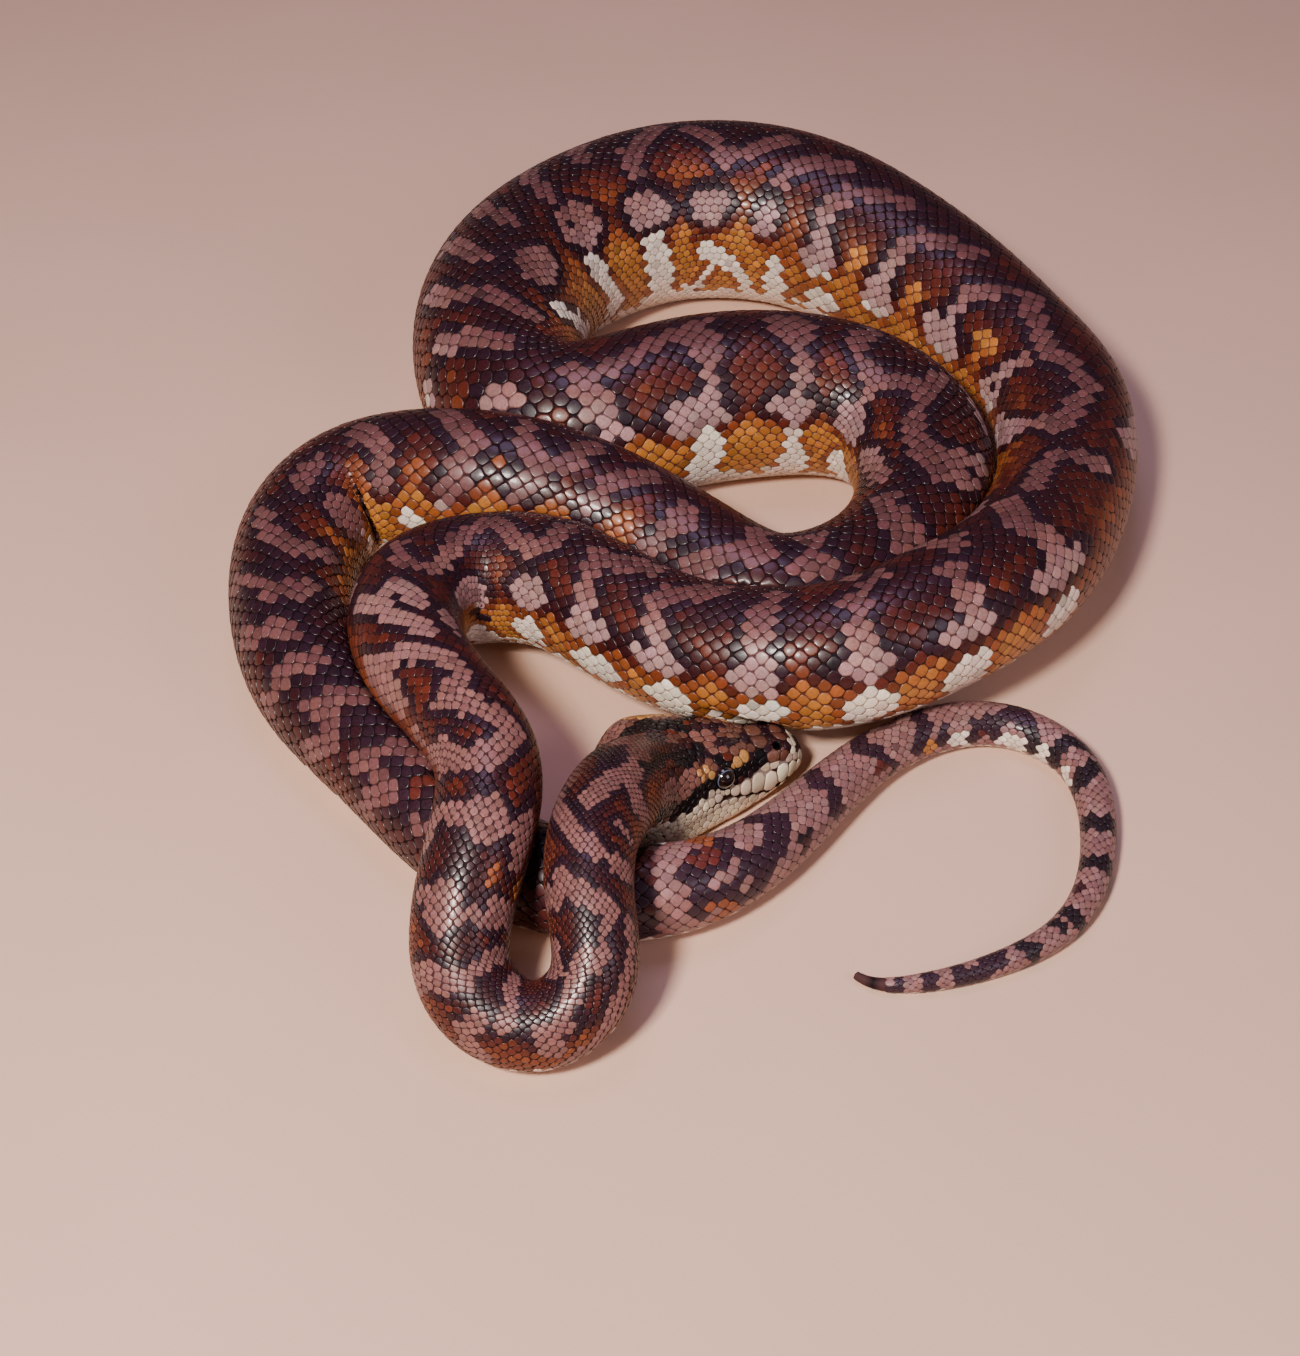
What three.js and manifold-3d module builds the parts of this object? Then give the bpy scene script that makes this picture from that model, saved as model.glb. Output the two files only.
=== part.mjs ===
import * as THREE from 'three';
import { mergeVertices } from 'three/addons/utils/BufferGeometryUtils.js';
import Module from 'manifold-3d';

// An adult carpet python lying coiled on flat ground, with its neck across its own back.
// Lengths are millimetres, +Z is up and the floor is z = 0.
//
// The animal is one bent tube with a shaped head. A place on it is given by
//   s      distance along the spine, from the tip of the snout backwards
//   angle  turn about the spine, 0 along the back, positive towards the animal's left flank
// and every vertex is  spine(s) + reach * (cos(angle) * up + sin(angle) * left).

const wasm = await Module();
wasm.setup();

// ---------------------------------------------------------------- the lie of the spine
const WAYPOINTS = [
  [30, -101, 8], [14, -108, 10], [-2, -114, 12], [-13, -120, 14], [-21, -129, 22], [-27, -145, 34],
  [-34, -168, 42], [-35, -190, 37], [-29, -209, 22], [-49, -220, 9], [-75, -205, 17], [-67, -177, 40],
  [-59, -141, 48], [-94, -98, 43], [-98, -49, 32], [-73, -33, 25], [-45, -41, 31], [-13, -75, 28],
  [40, -89, 33], [77, -69, 37], [110, -37, 31], [131, 16, 23], [137, 64, 26], [122, 97, 25],
  [98, 142, 28], [49, 187, 34], [8, 197, 33], [-26, 188, 33], [-64, 156, 31], [-78, 106, 33],
  [-69, 54, 29], [-41, 44, 28], [-6, 64, 30], [49, 72, 29], [80, 52, 25], [83, 8, 23], [62, -33, 22],
  [23, -51, 22], [-1, -24, 22], [-40, 0, 32], [-74, 5, 39], [-120, 24, 24], [-141, -4, 20],
  [-137, -52, 20], [-125, -85, 18], [-96, -117, 17], [-67, -159, 15], [-14, -173, 14], [22, -146, 11],
  [51, -101, 8.3], [92, -80, 7], [123, -100, 6.1], [123, -138, 5.1], [109, -180, 4.1], [48, -198, 2.6],
  [40, -184, 1.5],
];
const SPINE_STEP = 2;              // spacing of the stored spine stations
const SPAN_PARTS = 24;             // straight pieces that each span of the curve is measured by

// Half-width of the body at a distance s, from the nape to the tip of the tail.
const GIRTH = [
  [0, 9], [30, 13.5], [66, 15], [110, 13.4], [150, 12.5], [190, 13.8], [240, 15.5], [300, 16.5],
  [350, 19.4], [390, 22], [450, 22], [540, 23.9], [640, 24.5], [740, 27.5], [800, 30.6], [850, 34.3],
  [900, 35.9], [980, 34.4], [1060, 32], [1110, 30.9], [1170, 31], [1230, 27.2], [1290, 24.5],
  [1380, 23.5], [1500, 23.8], [1560, 21.9], [1680, 18.1], [1760, 15.1], [1810, 11.4], [1860, 8.9],
  [1950, 6.3], [2060, 3], [2086, 1.2],
];

// ---------------------------------------------------------------- the head
// One row for each section of the head. Heights are measured from the head's axis.
//   b            distance behind the snout tip
//   top          height of the crown
//   crown, drop  half-width of the crown, and how far its edge lies below the top
//   side, brow   half-width and height at the level of the eyes
//   wide, level  greatest half-width and its height
//   lip          height of the mouth line
//   jaw          half-width of the lower jaw's edge
//   chin         height of the chin
const HEAD_COLUMNS = [
  'b', 'top', 'crown', 'drop', 'side', 'brow', 'wide', 'level', 'lip', 'jaw', 'chin',
];
const HEAD_ROWS = [
  [0, 3.4, 1.9, 0.5, 2.6, 1.8, 3, 0.4, -1.6, 2.4, -3],
  [1, 5.2, 3.2, 0.6, 4.3, 2.9, 4.9, 0.6, -2, 4, -4.3],
  [5, 8.7, 5.4, 0.8, 6.9, 4.9, 7.7, 0.6, -2.7, 6.4, -6.2],
  [9, 10.6, 6.5, 0.8, 8.3, 5.4, 9.5, 0, -3.8, 8, -7.8],
  [14, 10.8, 6.8, 0.9, 9.3, 4.8, 11, -1, -4.7, 9.6, -9.4],
  [20, 11.3, 7.4, 0.9, 10.3, 5.2, 12.6, 0, -3.2, 11.2, -10.9],
  [26, 12.8, 9.8, 0.9, 11.7, 6.2, 14.2, 0.6, -1.8, 13, -11.8],
  [31, 13.5, 11.4, 1.2, 12.6, 6.8, 15.4, 0.6, -2.2, 14.3, -12.4],
  [38, 14.4, 13.8, 1.6, 15.8, 7.4, 17.8, 1, -2.8, 16.4, -13],
  [45, 15, 15.8, 2, 18.9, 7.8, 20.4, 1, -3.2, 18.8, -13.6],
  [52, 15.3, 16.8, 2.4, 20.4, 7.8, 21.8, 0.5, -5.6, 20, -14.2],
  [58, 15.4, 16.2, 2.8, 19.9, 7.8, 21.2, 0, -6.2, 19, -14.8],
  [66, 15.4, 13.6, 3.2, 17, 7.6, 18.4, 0, -6.4, 16, -15],
  [80, 15, 10.6, 4.4, 14, 7, 15, 0, -6.4, 13.4, -15],
];
const JAW_EDGE_RISE = 2.6;         // the jaw's edge lies this far above the chin
const LIP_TUCK = 0.5;              // the mouth line lies this far inside the greatest half-width
const HEAD_TAPER = [53, 71];       // the skull and jaws round off between these
const NECK_START = 30;             // the round neck begins inside the head
const NECK_END = 156;              // and counts towards the nape's shape as far as this
const NAPE_BLEND = 4;              // size of the fillet between the head and the neck
const NAPE_END = 96;               // behind this the body is a plain tube
const REACH_ROUNDS = 16;
const HEAD_END = 64;               // where the head node stops
const HEAD_RINGS = [0, 1, 2.5, 5, 9, 14, 20, 26, 31, 37, 43, 49, 54, 59, HEAD_END];
const HEAD_SIDES = 26;
const MOUTH_GAP = 0.35;
// Height of the mouth line at a distance b behind the snout tip.
const MOUTH_LINE = [
  [0, -1.6], [1, -2], [5, -2.4], [9, -2.6], [12, -3.4], [14.5, -4.2], [19.5, -2.4], [22.5, -1.4],
  [26.5, 0.5], [30.5, 1.3], [35, 1.4], [40, 0.8], [48, -0.4], [55, -3.2], [60, -4.6],
];
const MOUTH_REACH = 1.2;           // width of the gap's band, as a share of the head's
const MOUTH_FRONT = 29;            // the gap's band starts this far in front of the snout
const MOUTH_END = 56;              // corner of the mouth, measured from the snout tip
const MOUTH_BACK = [58, -20];      // the gap runs down behind the jaw to this place
const EYE = { radius: 3.7, socket: 4, b: 32.6, out: 12.35, up: 8 };
const NOSTRIL = { radius: 1.25, b: 11.4, out: 5.6, up: 10.4 };
const BALL_SIDES = 16;

// ---------------------------------------------------------------- the body's divisions
const CUT = 0.3;                   // gap between neighbouring lengths
const BODY_SIDES = 16;
const RING_STEP = 14;              // spacing of the rings along the straighter lengths
const FINE_STEP = 8;               // and where the body bends tightly or touches itself
const FINE_BEND = 0.55;            // bend times half-width that calls for the fine rings
const FINE_TOUCH = 4;              // clearance that calls for the fine rings
const LENGTHS = [
  { name: 'neck_front', to: 128 },
  { name: 'neck_bend', to: 196 },
  { name: 'neck_rear', to: 286 },
  { name: 'trunk_01', to: 368 },
  { name: 'trunk_02', to: 470 },
  { name: 'trunk_03', to: 570 },
  { name: 'trunk_04', to: 670 },
  { name: 'trunk_05', to: 776 },
  { name: 'trunk_06', to: 890 },
  { name: 'trunk_07', to: 990 },
  { name: 'trunk_08', to: 1066 },
  { name: 'trunk_09', to: 1142 },
  { name: 'trunk_10', to: 1220 },
  { name: 'trunk_11', to: 1296 },
  { name: 'trunk_12', to: 1396 },
  { name: 'trunk_13', to: 1490 },
  { name: 'trunk_14', to: 1570 },
  { name: 'trunk_15', to: 1680 },
  { name: 'trunk_16', to: 1792 },
  { name: 'tail_1', to: 1880 },
  { name: 'tail_2', to: 1962 },
  { name: 'tail_3', to: 2040 },
  { name: 'tail_tip', to: 2084 },
];

// ---------------------------------------------------------------- how soft flesh gives way
const TOUCH_GAP = 0.6;             // left between two lengths that press on each other
const HEAD_CLEAR = 2.6;            // left between the head and the flank beside it
const TOUCH_ROUNDS = 14;
const INNER_LIMIT = 0.9;           // largest share of the bend radius the inner side may fill
const INNER_SOFTNESS = 8;
const NEAR_ALONG = 60;             // lengths closer along the body than this don't touch
const NEAR_GIRTHS = 2.3;           // nor those closer than this many of their joined half-widths
const LOOK_ROUND_HEAD = 2;         // how many joined half-widths off the head still meets things
const STATION_STEP = 4;            // spacing of the stations that stand for the other lengths

// ---------------------------------------------------------------- small helpers
const vec = (x, y, z) => new THREE.Vector3(x, y, z);
const smooth = (t) => t * t * (3 - 2 * t);

// Smooth curve through (xs, ys): cubic pieces whose slopes come from the neighbouring points.
function through(xs, ys, x) {
  const last = xs.length - 1;
  const slope = (i) => {
    const low = Math.max(i - 1, 0);
    const high = Math.min(i + 1, last);
    return (ys[high] - ys[low]) / (xs[high] - xs[low]);
  };
  const inside = Math.min(Math.max(x, xs[0]), xs[last]);
  let i = 0;
  while (i < last - 1 && xs[i + 1] < inside) {
    i += 1;
  }
  const width = xs[i + 1] - xs[i];
  const t = (inside - xs[i]) / width;
  const rise = smooth(t);
  return ys[i] * (1 - rise) + ys[i + 1] * rise
    + width * t * (1 - t) * (slope(i) * (1 - t) - slope(i + 1) * t);
}

// Share of the way along a rising list at which it reaches a value.
function shareAt(rising, value) {
  let i = 0;
  while (i < rising.length - 2 && rising[i + 1] < value) {
    i += 1;
  }
  return (i + (value - rising[i]) / (rising[i + 1] - rising[i])) / (rising.length - 1);
}

// ---------------------------------------------------------------- the spine
// A uniform cubic B-spline drawn by the way-points, stored at even distances with its frame.
class Spine {
  constructor(waypoints) {
    const first = waypoints[0].map((v, k) => 2 * v - waypoints[1][k]);
    const end = waypoints.length - 1;
    const beyond = waypoints[end].map((v, k) => 2 * v - waypoints[end - 1][k]);
    this.control = [first, ...waypoints, beyond];
    const fine = this.trace(SPAN_PARTS);
    this.resample(fine);
    this.addFrames();
  }

  trace(parts) {
    const points = [];
    const spans = this.control.length - 3;
    for (let n = 0; n <= spans * parts; n += 1) {
      const i = Math.min(Math.floor(n / parts), spans - 1);
      const f = n / parts - i;
      const g = 1 - f;
      const weights = [g ** 3, 4 - 6 * f ** 2 + 3 * f ** 3, 4 - 6 * g ** 2 + 3 * g ** 3, f ** 3];
      const point = vec(0, 0, 0);
      weights.forEach((w, k) => point.addScaledVector(vec(...this.control[i + k]), w / 6));
      points.push(point);
    }
    return points;
  }

  resample(fine) {
    const along = [0];
    for (let i = 1; i < fine.length; i += 1) {
      along.push(along[i - 1] + fine[i].distanceTo(fine[i - 1]));
    }
    this.length = along[along.length - 1];
    this.count = Math.floor(this.length / SPINE_STEP) + 1;
    this.points = [];
    let i = 0;
    for (let n = 0; n < this.count; n += 1) {
      const s = n * SPINE_STEP;
      while (i < along.length - 2 && along[i + 1] < s) {
        i += 1;
      }
      const t = (s - along[i]) / (along[i + 1] - along[i]);
      this.points.push(fine[i].clone().lerp(fine[i + 1], t));
    }
  }

  addFrames() {
    const last = this.count - 1;
    const slope = (list, i) => {
      const low = Math.max(i - 1, 0);
      const high = Math.min(i + 1, last);
      return list[high].clone().sub(list[low]).divideScalar((high - low) * SPINE_STEP);
    };
    this.tangents = this.points.map((_, i) => slope(this.points, i).normalize());
    this.bends = this.tangents.map((_, i) => slope(this.tangents, i));
  }

  at(list, s) {
    const x = Math.min(Math.max(s / SPINE_STEP, 0), this.count - 1);
    const i = Math.min(Math.floor(x), this.count - 2);
    return list[i].clone().lerp(list[i + 1], x - i);
  }

  frame(s) {
    const tangent = this.at(this.tangents, s).normalize();
    const up = vec(0, 0, 1).addScaledVector(tangent, -tangent.z).normalize();
    const left = tangent.clone().cross(up);
    return { origin: this.at(this.points, s), tangent, up, left, bend: this.at(this.bends, s) };
  }
}

// ---------------------------------------------------------------- the outline around the spine
const GIRTH_S = GIRTH.map((row) => row[0]);
const GIRTH_R = GIRTH.map((row) => row[1]);

function girth(s) {
  return through(GIRTH_S, GIRTH_R, s);
}

function headValue(name, b) {
  const column = HEAD_COLUMNS.indexOf(name);
  return through(HEAD_ROWS.map((row) => row[0]), HEAD_ROWS.map((row) => row[column]), b);
}

// Corners of half a head section, from the crown round to the chin, as [angle, reach].
function headCorners(b) {
  const v = (name) => headValue(name, b);
  const corners = [
    [0, v('top')],
    [v('crown'), v('top') - v('drop')],
    [v('side'), v('brow')],
    [v('wide'), v('level')],
    [v('wide') - LIP_TUCK, v('lip')],
    [v('jaw'), v('chin') + JAW_EDGE_RISE],
    [0, v('chin')],
  ];
  return corners.map(([out, up]) => [Math.atan2(out, up), Math.hypot(out, up)]);
}

function headReach(b, angle) {
  const corners = headCorners(b);
  const turn = Math.abs(Math.atan2(Math.sin(angle), Math.cos(angle)));
  return through(corners.map((c) => c[0]), corners.map((c) => c[1]), turn);
}

// The head is stiff and straight, so it has a frame of its own at the front of the spine.
class HeadShape {
  constructor(spine) {
    this.spine = spine;
    this.origin = spine.points[0];
    this.tangent = vec(...WAYPOINTS[2]).sub(vec(...WAYPOINTS[0])).normalize();
    this.up = vec(0, 0, 1).addScaledVector(this.tangent, -this.tangent.z).normalize();
    this.left = this.tangent.clone().cross(this.up);
  }

  place(b, out, up) {
    const spot = this.origin.clone().addScaledVector(this.tangent, b);
    return spot.addScaledVector(this.left, out).addScaledVector(this.up, up);
  }

  // Signed distance from the surface of the head and jaws, measured across the head's axis.
  headGap(point) {
    const away = point.clone().sub(this.origin);
    const b = away.dot(this.tangent);
    const out = away.dot(this.left);
    const up = away.dot(this.up);
    const fade = Math.min(Math.max((b - HEAD_TAPER[0]) / (HEAD_TAPER[1] - HEAD_TAPER[0]), 0), 1);
    const across = Math.hypot(out, up) - headReach(b, Math.atan2(out, up)) * Math.sqrt(1 - fade * fade);
    return Math.max(across, b - HEAD_TAPER[1]);
  }

  neckGap(point) {
    let best = Infinity;
    for (let i = NECK_START / SPINE_STEP; i < NECK_END / SPINE_STEP; i += 1) {
      best = Math.min(best, point.distanceTo(this.spine.points[i]) - girth(i * SPINE_STEP));
    }
    return best;
  }

  gap(point) {
    const head = this.headGap(point);
    const neck = this.neckGap(point);
    const near = Math.max(NAPE_BLEND - Math.abs(head - neck), 0) / NAPE_BLEND;
    return Math.min(head, neck) - (near * near * NAPE_BLEND) / 4;
  }

  // Reach of the skin from the spine: the head near the front, the neck behind it.
  reach(s, origin, direction) {
    let reach = girth(s);
    for (let round = 0; round < REACH_ROUNDS; round += 1) {
      reach -= this.gap(origin.clone().addScaledVector(direction, reach));
    }
    return reach;
  }
}

// ---------------------------------------------------------------- the resting body
class Body {
  constructor(spine) {
    this.spine = spine;
    this.head = new HeadShape(spine);
    this.stations = [];
    for (let s = 0; s < spine.length; s += STATION_STEP) {
      this.stations.push({ s, point: spine.at(spine.points, s), girth: girth(s) });
    }
  }

  // Stations of the rest of the body that may touch the ring at s.
  neighbours(s, frame) {
    const own = girth(s);
    return this.stations.filter((other) => {
      const apart = Math.abs(other.s - s);
      const reach = own + other.girth;
      const near = s < NAPE_END || other.s < NAPE_END;
      const clear = near ? LOOK_ROUND_HEAD * reach : reach + FINE_TOUCH + RING_STEP;
      return apart > Math.max(NEAR_ALONG, NEAR_GIRTHS * reach)
        && other.point.distanceTo(frame.origin) < clear;
    });
  }

  // Signed distance of a point from the skin of the nearest other length.
  clearance(point, others) {
    let gap = Infinity;
    let nearest = Infinity;
    for (const other of others) {
      const far = other.point.distanceTo(point) - other.girth;
      nearest = Math.min(nearest, other.s);
      gap = Math.min(gap, other.s < HEAD_END ? this.head.headGap(point) : far);
    }
    return { gap, hard: nearest < HEAD_END };
  }

  // Flesh stays short of the centre of a tight bend.
  innerLimit(reach, frame, direction) {
    const bend = direction.dot(frame.bend);
    if (bend <= 0) {
      return reach;
    }
    const crowding = (reach * bend) / INNER_LIMIT;
    return reach / (1 + crowding ** INNER_SOFTNESS) ** (1 / INNER_SOFTNESS);
  }

  // Two lengths that meet share the squeeze evenly, and the skull doesn't give way.
  squeeze(reach, s, frame, direction, others) {
    if (others.length === 0 || s < HEAD_END) {
      return reach;
    }
    let now = reach;
    for (let round = 0; round < TOUCH_ROUNDS; round += 1) {
      const point = frame.origin.clone().addScaledVector(direction, now);
      const { gap, hard } = this.clearance(point, others);
      const excess = hard ? HEAD_CLEAR - gap : now - reach - gap + TOUCH_GAP;
      now -= Math.max(0, excess) / 2;
    }
    return now;
  }

  ring(s, sides) {
    const frame = this.spine.frame(s);
    const others = this.neighbours(s, frame);
    const points = [];
    for (let k = 0; k < sides; k += 1) {
      const angle = (2 * Math.PI * (k + 0.5)) / sides;
      const direction = frame.up.clone().multiplyScalar(Math.cos(angle));
      direction.addScaledVector(frame.left, Math.sin(angle));
      const shaped = s < NAPE_END ? this.head.reach(s, frame.origin, direction) : girth(s);
      const free = this.innerLimit(shaped, frame, direction);
      const reach = this.squeeze(free, s, frame, direction, others);
      const point = frame.origin.clone().addScaledVector(direction, reach);
      point.z = Math.max(point.z, 0);
      points.push(point);
    }
    return points;
  }

  // A ring step that suits the place: shorter in tight bends and where lengths meet.
  stepAt(s) {
    const frame = this.spine.frame(s);
    const bent = frame.bend.length() * girth(s) > FINE_BEND;
    const meets = this.neighbours(s, frame).some((other) => (
      other.point.distanceTo(frame.origin) < other.girth + girth(s) + FINE_TOUCH));
    return bent || meets ? FINE_STEP : RING_STEP;
  }

  ringPlaces(from, to) {
    const weights = [0];
    const places = [from];
    for (let s = from + 1; s <= to; s += 1) {
      weights.push(weights[weights.length - 1] + 1 / this.stepAt(s));
      places.push(s);
    }
    const total = weights[weights.length - 1];
    const count = Math.max(Math.round(total), 2);
    const list = [];
    for (let n = 0; n <= count; n += 1) {
      list.push(from + (to - from) * shareAt(weights, (n * total) / count));
    }
    return list;
  }
}

// ---------------------------------------------------------------- closed solids from rings
function loft(rings) {
  const sides = rings[0].length;
  const vertices = rings.flat().flatMap((p) => [p.x, p.y, p.z]);
  const triangles = [];
  for (let r = 0; r < rings.length - 1; r += 1) {
    for (let k = 0; k < sides; k += 1) {
      const a = r * sides + k;
      const b = r * sides + ((k + 1) % sides);
      triangles.push(a, b, a + sides, b, b + sides, a + sides);
    }
  }
  for (const [ring, order] of [[0, -1], [rings.length - 1, 1]]) {
    const centre = vertices.length / 3;
    const middle = rings[ring].reduce((sum, p) => sum.add(p), vec(0, 0, 0)).divideScalar(sides);
    vertices.push(middle.x, middle.y, middle.z);
    for (let k = 0; k < sides; k += 1) {
      const a = ring * sides + k;
      const b = ring * sides + ((k + 1) % sides);
      triangles.push(...(order > 0 ? [centre, a, b] : [centre, b, a]));
    }
  }
  return { vertices, triangles };
}

function geometryOf({ vertices, triangles }) {
  const geometry = new THREE.BufferGeometry();
  geometry.setAttribute('position', new THREE.Float32BufferAttribute(vertices, 3));
  geometry.setIndex(triangles);
  geometry.computeVertexNormals();
  return geometry;
}

function solidOf({ vertices, triangles }) {
  const mesh = new wasm.Mesh({
    numProp: 3,
    vertProperties: new Float32Array(vertices),
    triVerts: new Uint32Array(triangles),
  });
  return new wasm.Manifold(mesh);
}

function fromSolid(solid) {
  const mesh = solid.getMesh();
  const vertices = Array.from(mesh.vertProperties);
  return geometryOf({ vertices, triangles: Array.from(mesh.triVerts) });
}

function ball(centre, radius) {
  const sphere = new THREE.SphereGeometry(radius, BALL_SIDES, BALL_SIDES / 2);
  const turned = sphere.rotateX(Math.PI / 2).translate(centre.x, centre.y, centre.z);
  turned.deleteAttribute('normal');
  turned.deleteAttribute('uv');
  const merged = mergeVertices(turned);
  const vertices = Array.from(merged.getAttribute('position').array);
  return { vertices, triangles: Array.from(merged.getIndex().array) };
}

// ---------------------------------------------------------------- the head, its jaw and eyes
class Head {
  constructor(body) {
    this.body = body;
    this.shape = body.head;
  }

  whole() {
    return solidOf(loft(HEAD_RINGS.map((b) => this.body.ring(b, HEAD_SIDES))));
  }

  // The gap between the jaws: a thin band along the mouth line that turns down behind the jaw.
  mouth() {
    const height = (b) => through(MOUTH_LINE.map((row) => row[0]), MOUTH_LINE.map((row) => row[1]), b);
    const places = [...HEAD_RINGS.filter((b) => b < MOUTH_END), MOUTH_END];
    const path = [[-MOUTH_FRONT, height(0)], ...places.map((b) => [b, height(b)])];
    const rings = path.map(([b, up]) => this.band(b, up, 0, MOUTH_GAP / 2));
    rings.push(this.band(MOUTH_BACK[0], MOUTH_BACK[1], MOUTH_GAP / 2, 0));
    return solidOf(loft(rings));
  }

  band(b, up, thickAlong, thickUp) {
    const reach = MOUTH_REACH * headValue('wide', b);
    const corners = [[-reach, -1], [-reach, 1], [reach, 1], [reach, -1]];
    return corners.map(([out, side]) => (
      this.shape.place(b + side * thickAlong, out, up + side * thickUp)
    ));
  }

  nodes() {
    const parts = this.whole().subtract(this.mouth()).decompose();
    parts.sort((one, other) => other.volume() - one.volume());
    let [upper, lower] = parts;
    const nodes = [];
    for (const [name, side] of [['eye_left', 1], ['eye_right', -1]]) {
      const centre = this.shape.place(EYE.b, side * EYE.out, EYE.up);
      const nostril = this.shape.place(NOSTRIL.b, side * NOSTRIL.out, NOSTRIL.up);
      upper = upper.subtract(solidOf(ball(centre, EYE.socket)));
      upper = upper.subtract(solidOf(ball(nostril, NOSTRIL.radius)));
      nodes.push([name, geometryOf(ball(centre, EYE.radius)), FINISHES.eye]);
    }
    nodes.push(['head_upper', fromSolid(upper), FINISHES.crown]);
    nodes.push(['lower_jaw', fromSolid(lower), FINISHES.jaw]);
    return nodes;
  }
}

// ---------------------------------------------------------------- the finishes
const finish = (name, color, roughness) => new THREE.MeshStandardMaterial({
  name, color, roughness, metalness: 0,
});
const FINISHES = {
  crown: finish('crown_scales', '#4a332b', 0.5),
  jaw: finish('lip_scales', '#c9b8a0', 0.5),
  eye: finish('eye', '#120d0c', 0.12),
  neck: finish('neck_scales', '#5a4438', 0.5),
  trunk: finish('body_scales', '#5b4032', 0.45),
  tail: finish('tail_scales', '#6a5648', 0.5),
};

function finishOf(name) {
  return FINISHES[name.split('_')[0]];
}

// ---------------------------------------------------------------- the animal
function buildSnake() {
  const body = new Body(new Spine(WAYPOINTS));
  const nodes = new Head(body).nodes();
  let from = HEAD_END + CUT;
  for (const { name, to } of LENGTHS) {
    const rings = body.ringPlaces(from, to).map((s) => body.ring(s, BODY_SIDES));
    nodes.push([name, geometryOf(loft(rings)), finishOf(name)]);
    from = to + CUT;
  }
  const snake = new THREE.Group();
  snake.name = 'carpet_python';
  for (const [name, geometry, material] of nodes) {
    const mesh = new THREE.Mesh(geometry, material);
    mesh.name = name;
    snake.add(mesh);
  }
  return snake;
}

export default buildSnake();
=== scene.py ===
import logging
import math
from dataclasses import dataclass
from enum import Enum
from typing import NamedTuple

import bpy
import numpy as np
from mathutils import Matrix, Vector


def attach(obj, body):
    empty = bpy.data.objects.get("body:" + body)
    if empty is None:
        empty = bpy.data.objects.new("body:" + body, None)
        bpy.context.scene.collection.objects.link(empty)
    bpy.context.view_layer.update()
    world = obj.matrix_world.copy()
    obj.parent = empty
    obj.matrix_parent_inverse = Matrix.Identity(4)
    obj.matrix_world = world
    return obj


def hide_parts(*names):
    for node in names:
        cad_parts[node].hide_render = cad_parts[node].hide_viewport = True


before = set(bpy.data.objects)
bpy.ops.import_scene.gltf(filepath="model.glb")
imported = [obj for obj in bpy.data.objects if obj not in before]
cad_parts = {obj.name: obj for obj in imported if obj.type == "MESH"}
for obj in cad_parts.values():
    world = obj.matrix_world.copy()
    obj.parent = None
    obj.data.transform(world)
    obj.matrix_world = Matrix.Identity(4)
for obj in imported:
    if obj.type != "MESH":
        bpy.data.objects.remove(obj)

# An adult carpet python lying coiled on flat ground, its neck across its own back.
#
# The sums are in millimetres and the meshes in metres; +Z is up and the floor is z = 0.
# A place on the animal is given by s, the distance along the spine from the tip of the snout,
# and theta, the turn about the spine: 0 along the back, positive towards the left flank.
#
# One skin covers the whole animal. Over it lies a coat of separate scales, each a small closed
# plate. Every scale fills the room between its neighbours, so rows can come and go as the body
# widens, and each has one colour of its own, as on the real animal.

Array = np.ndarray
Tree = bpy.types.NodeTree
Socket = bpy.types.NodeSocket
log = logging.getLogger("python_scene")
MM = 0.001  # in metres
LENGTH = 2085.0  # of the animal, along its spine

# ---------- the form of the animal
# Way-points of the spine, from the snout to the tip of the tail.
WAYPOINTS = np.array([
    [30, -101, 8], [14, -108, 10], [-2, -114, 12], [-13, -120, 14], [-21, -129, 22],
    [-27, -145, 34], [-34, -168, 42], [-35, -190, 37], [-29, -209, 22], [-49, -220, 9],
    [-75, -205, 17], [-67, -177, 40], [-59, -141, 48], [-94, -98, 43], [-98, -49, 32],
    [-73, -33, 25], [-45, -41, 31], [-13, -75, 28], [40, -89, 33], [77, -69, 37], [110, -37, 31],
    [131, 16, 23], [137, 64, 26], [122, 97, 25], [98, 142, 28], [49, 187, 34], [8, 197, 33],
    [-26, 188, 33], [-64, 156, 31], [-78, 106, 33], [-69, 54, 29], [-41, 44, 28], [-6, 64, 30],
    [49, 72, 29], [80, 52, 25], [83, 8, 23], [62, -33, 22], [23, -51, 22], [-1, -24, 22],
    [-40, 0, 32], [-74, 5, 39], [-120, 24, 24], [-141, -4, 20], [-137, -52, 20], [-125, -85, 18],
    [-96, -117, 17], [-67, -159, 15], [-14, -173, 14], [22, -146, 11], [51, -101, 8.3],
    [92, -80, 7], [123, -100, 6.1], [123, -138, 5.1], [109, -180, 4.1], [48, -198, 2.6],
    [40, -184, 1.5],
], float)

# Half-width of the body at a distance s, from the nape to the tip of the tail.
GIRTH = np.array([
    [0, 9], [30, 13.5], [66, 15], [110, 13.4], [150, 12.5], [190, 13.8], [240, 15.5], [300, 16.5],
    [350, 19.4], [390, 22], [450, 22], [540, 23.9], [640, 24.5], [740, 27.5], [800, 30.6],
    [850, 34.3], [900, 35.9], [980, 34.4], [1060, 32], [1110, 30.9], [1170, 31], [1230, 27.2],
    [1290, 24.5], [1380, 23.5], [1500, 23.8], [1560, 21.9], [1680, 18.1], [1760, 15.1],
    [1810, 11.4], [1860, 8.9], [1950, 6.3], [2060, 3], [2086, 1.2],
], float)

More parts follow.
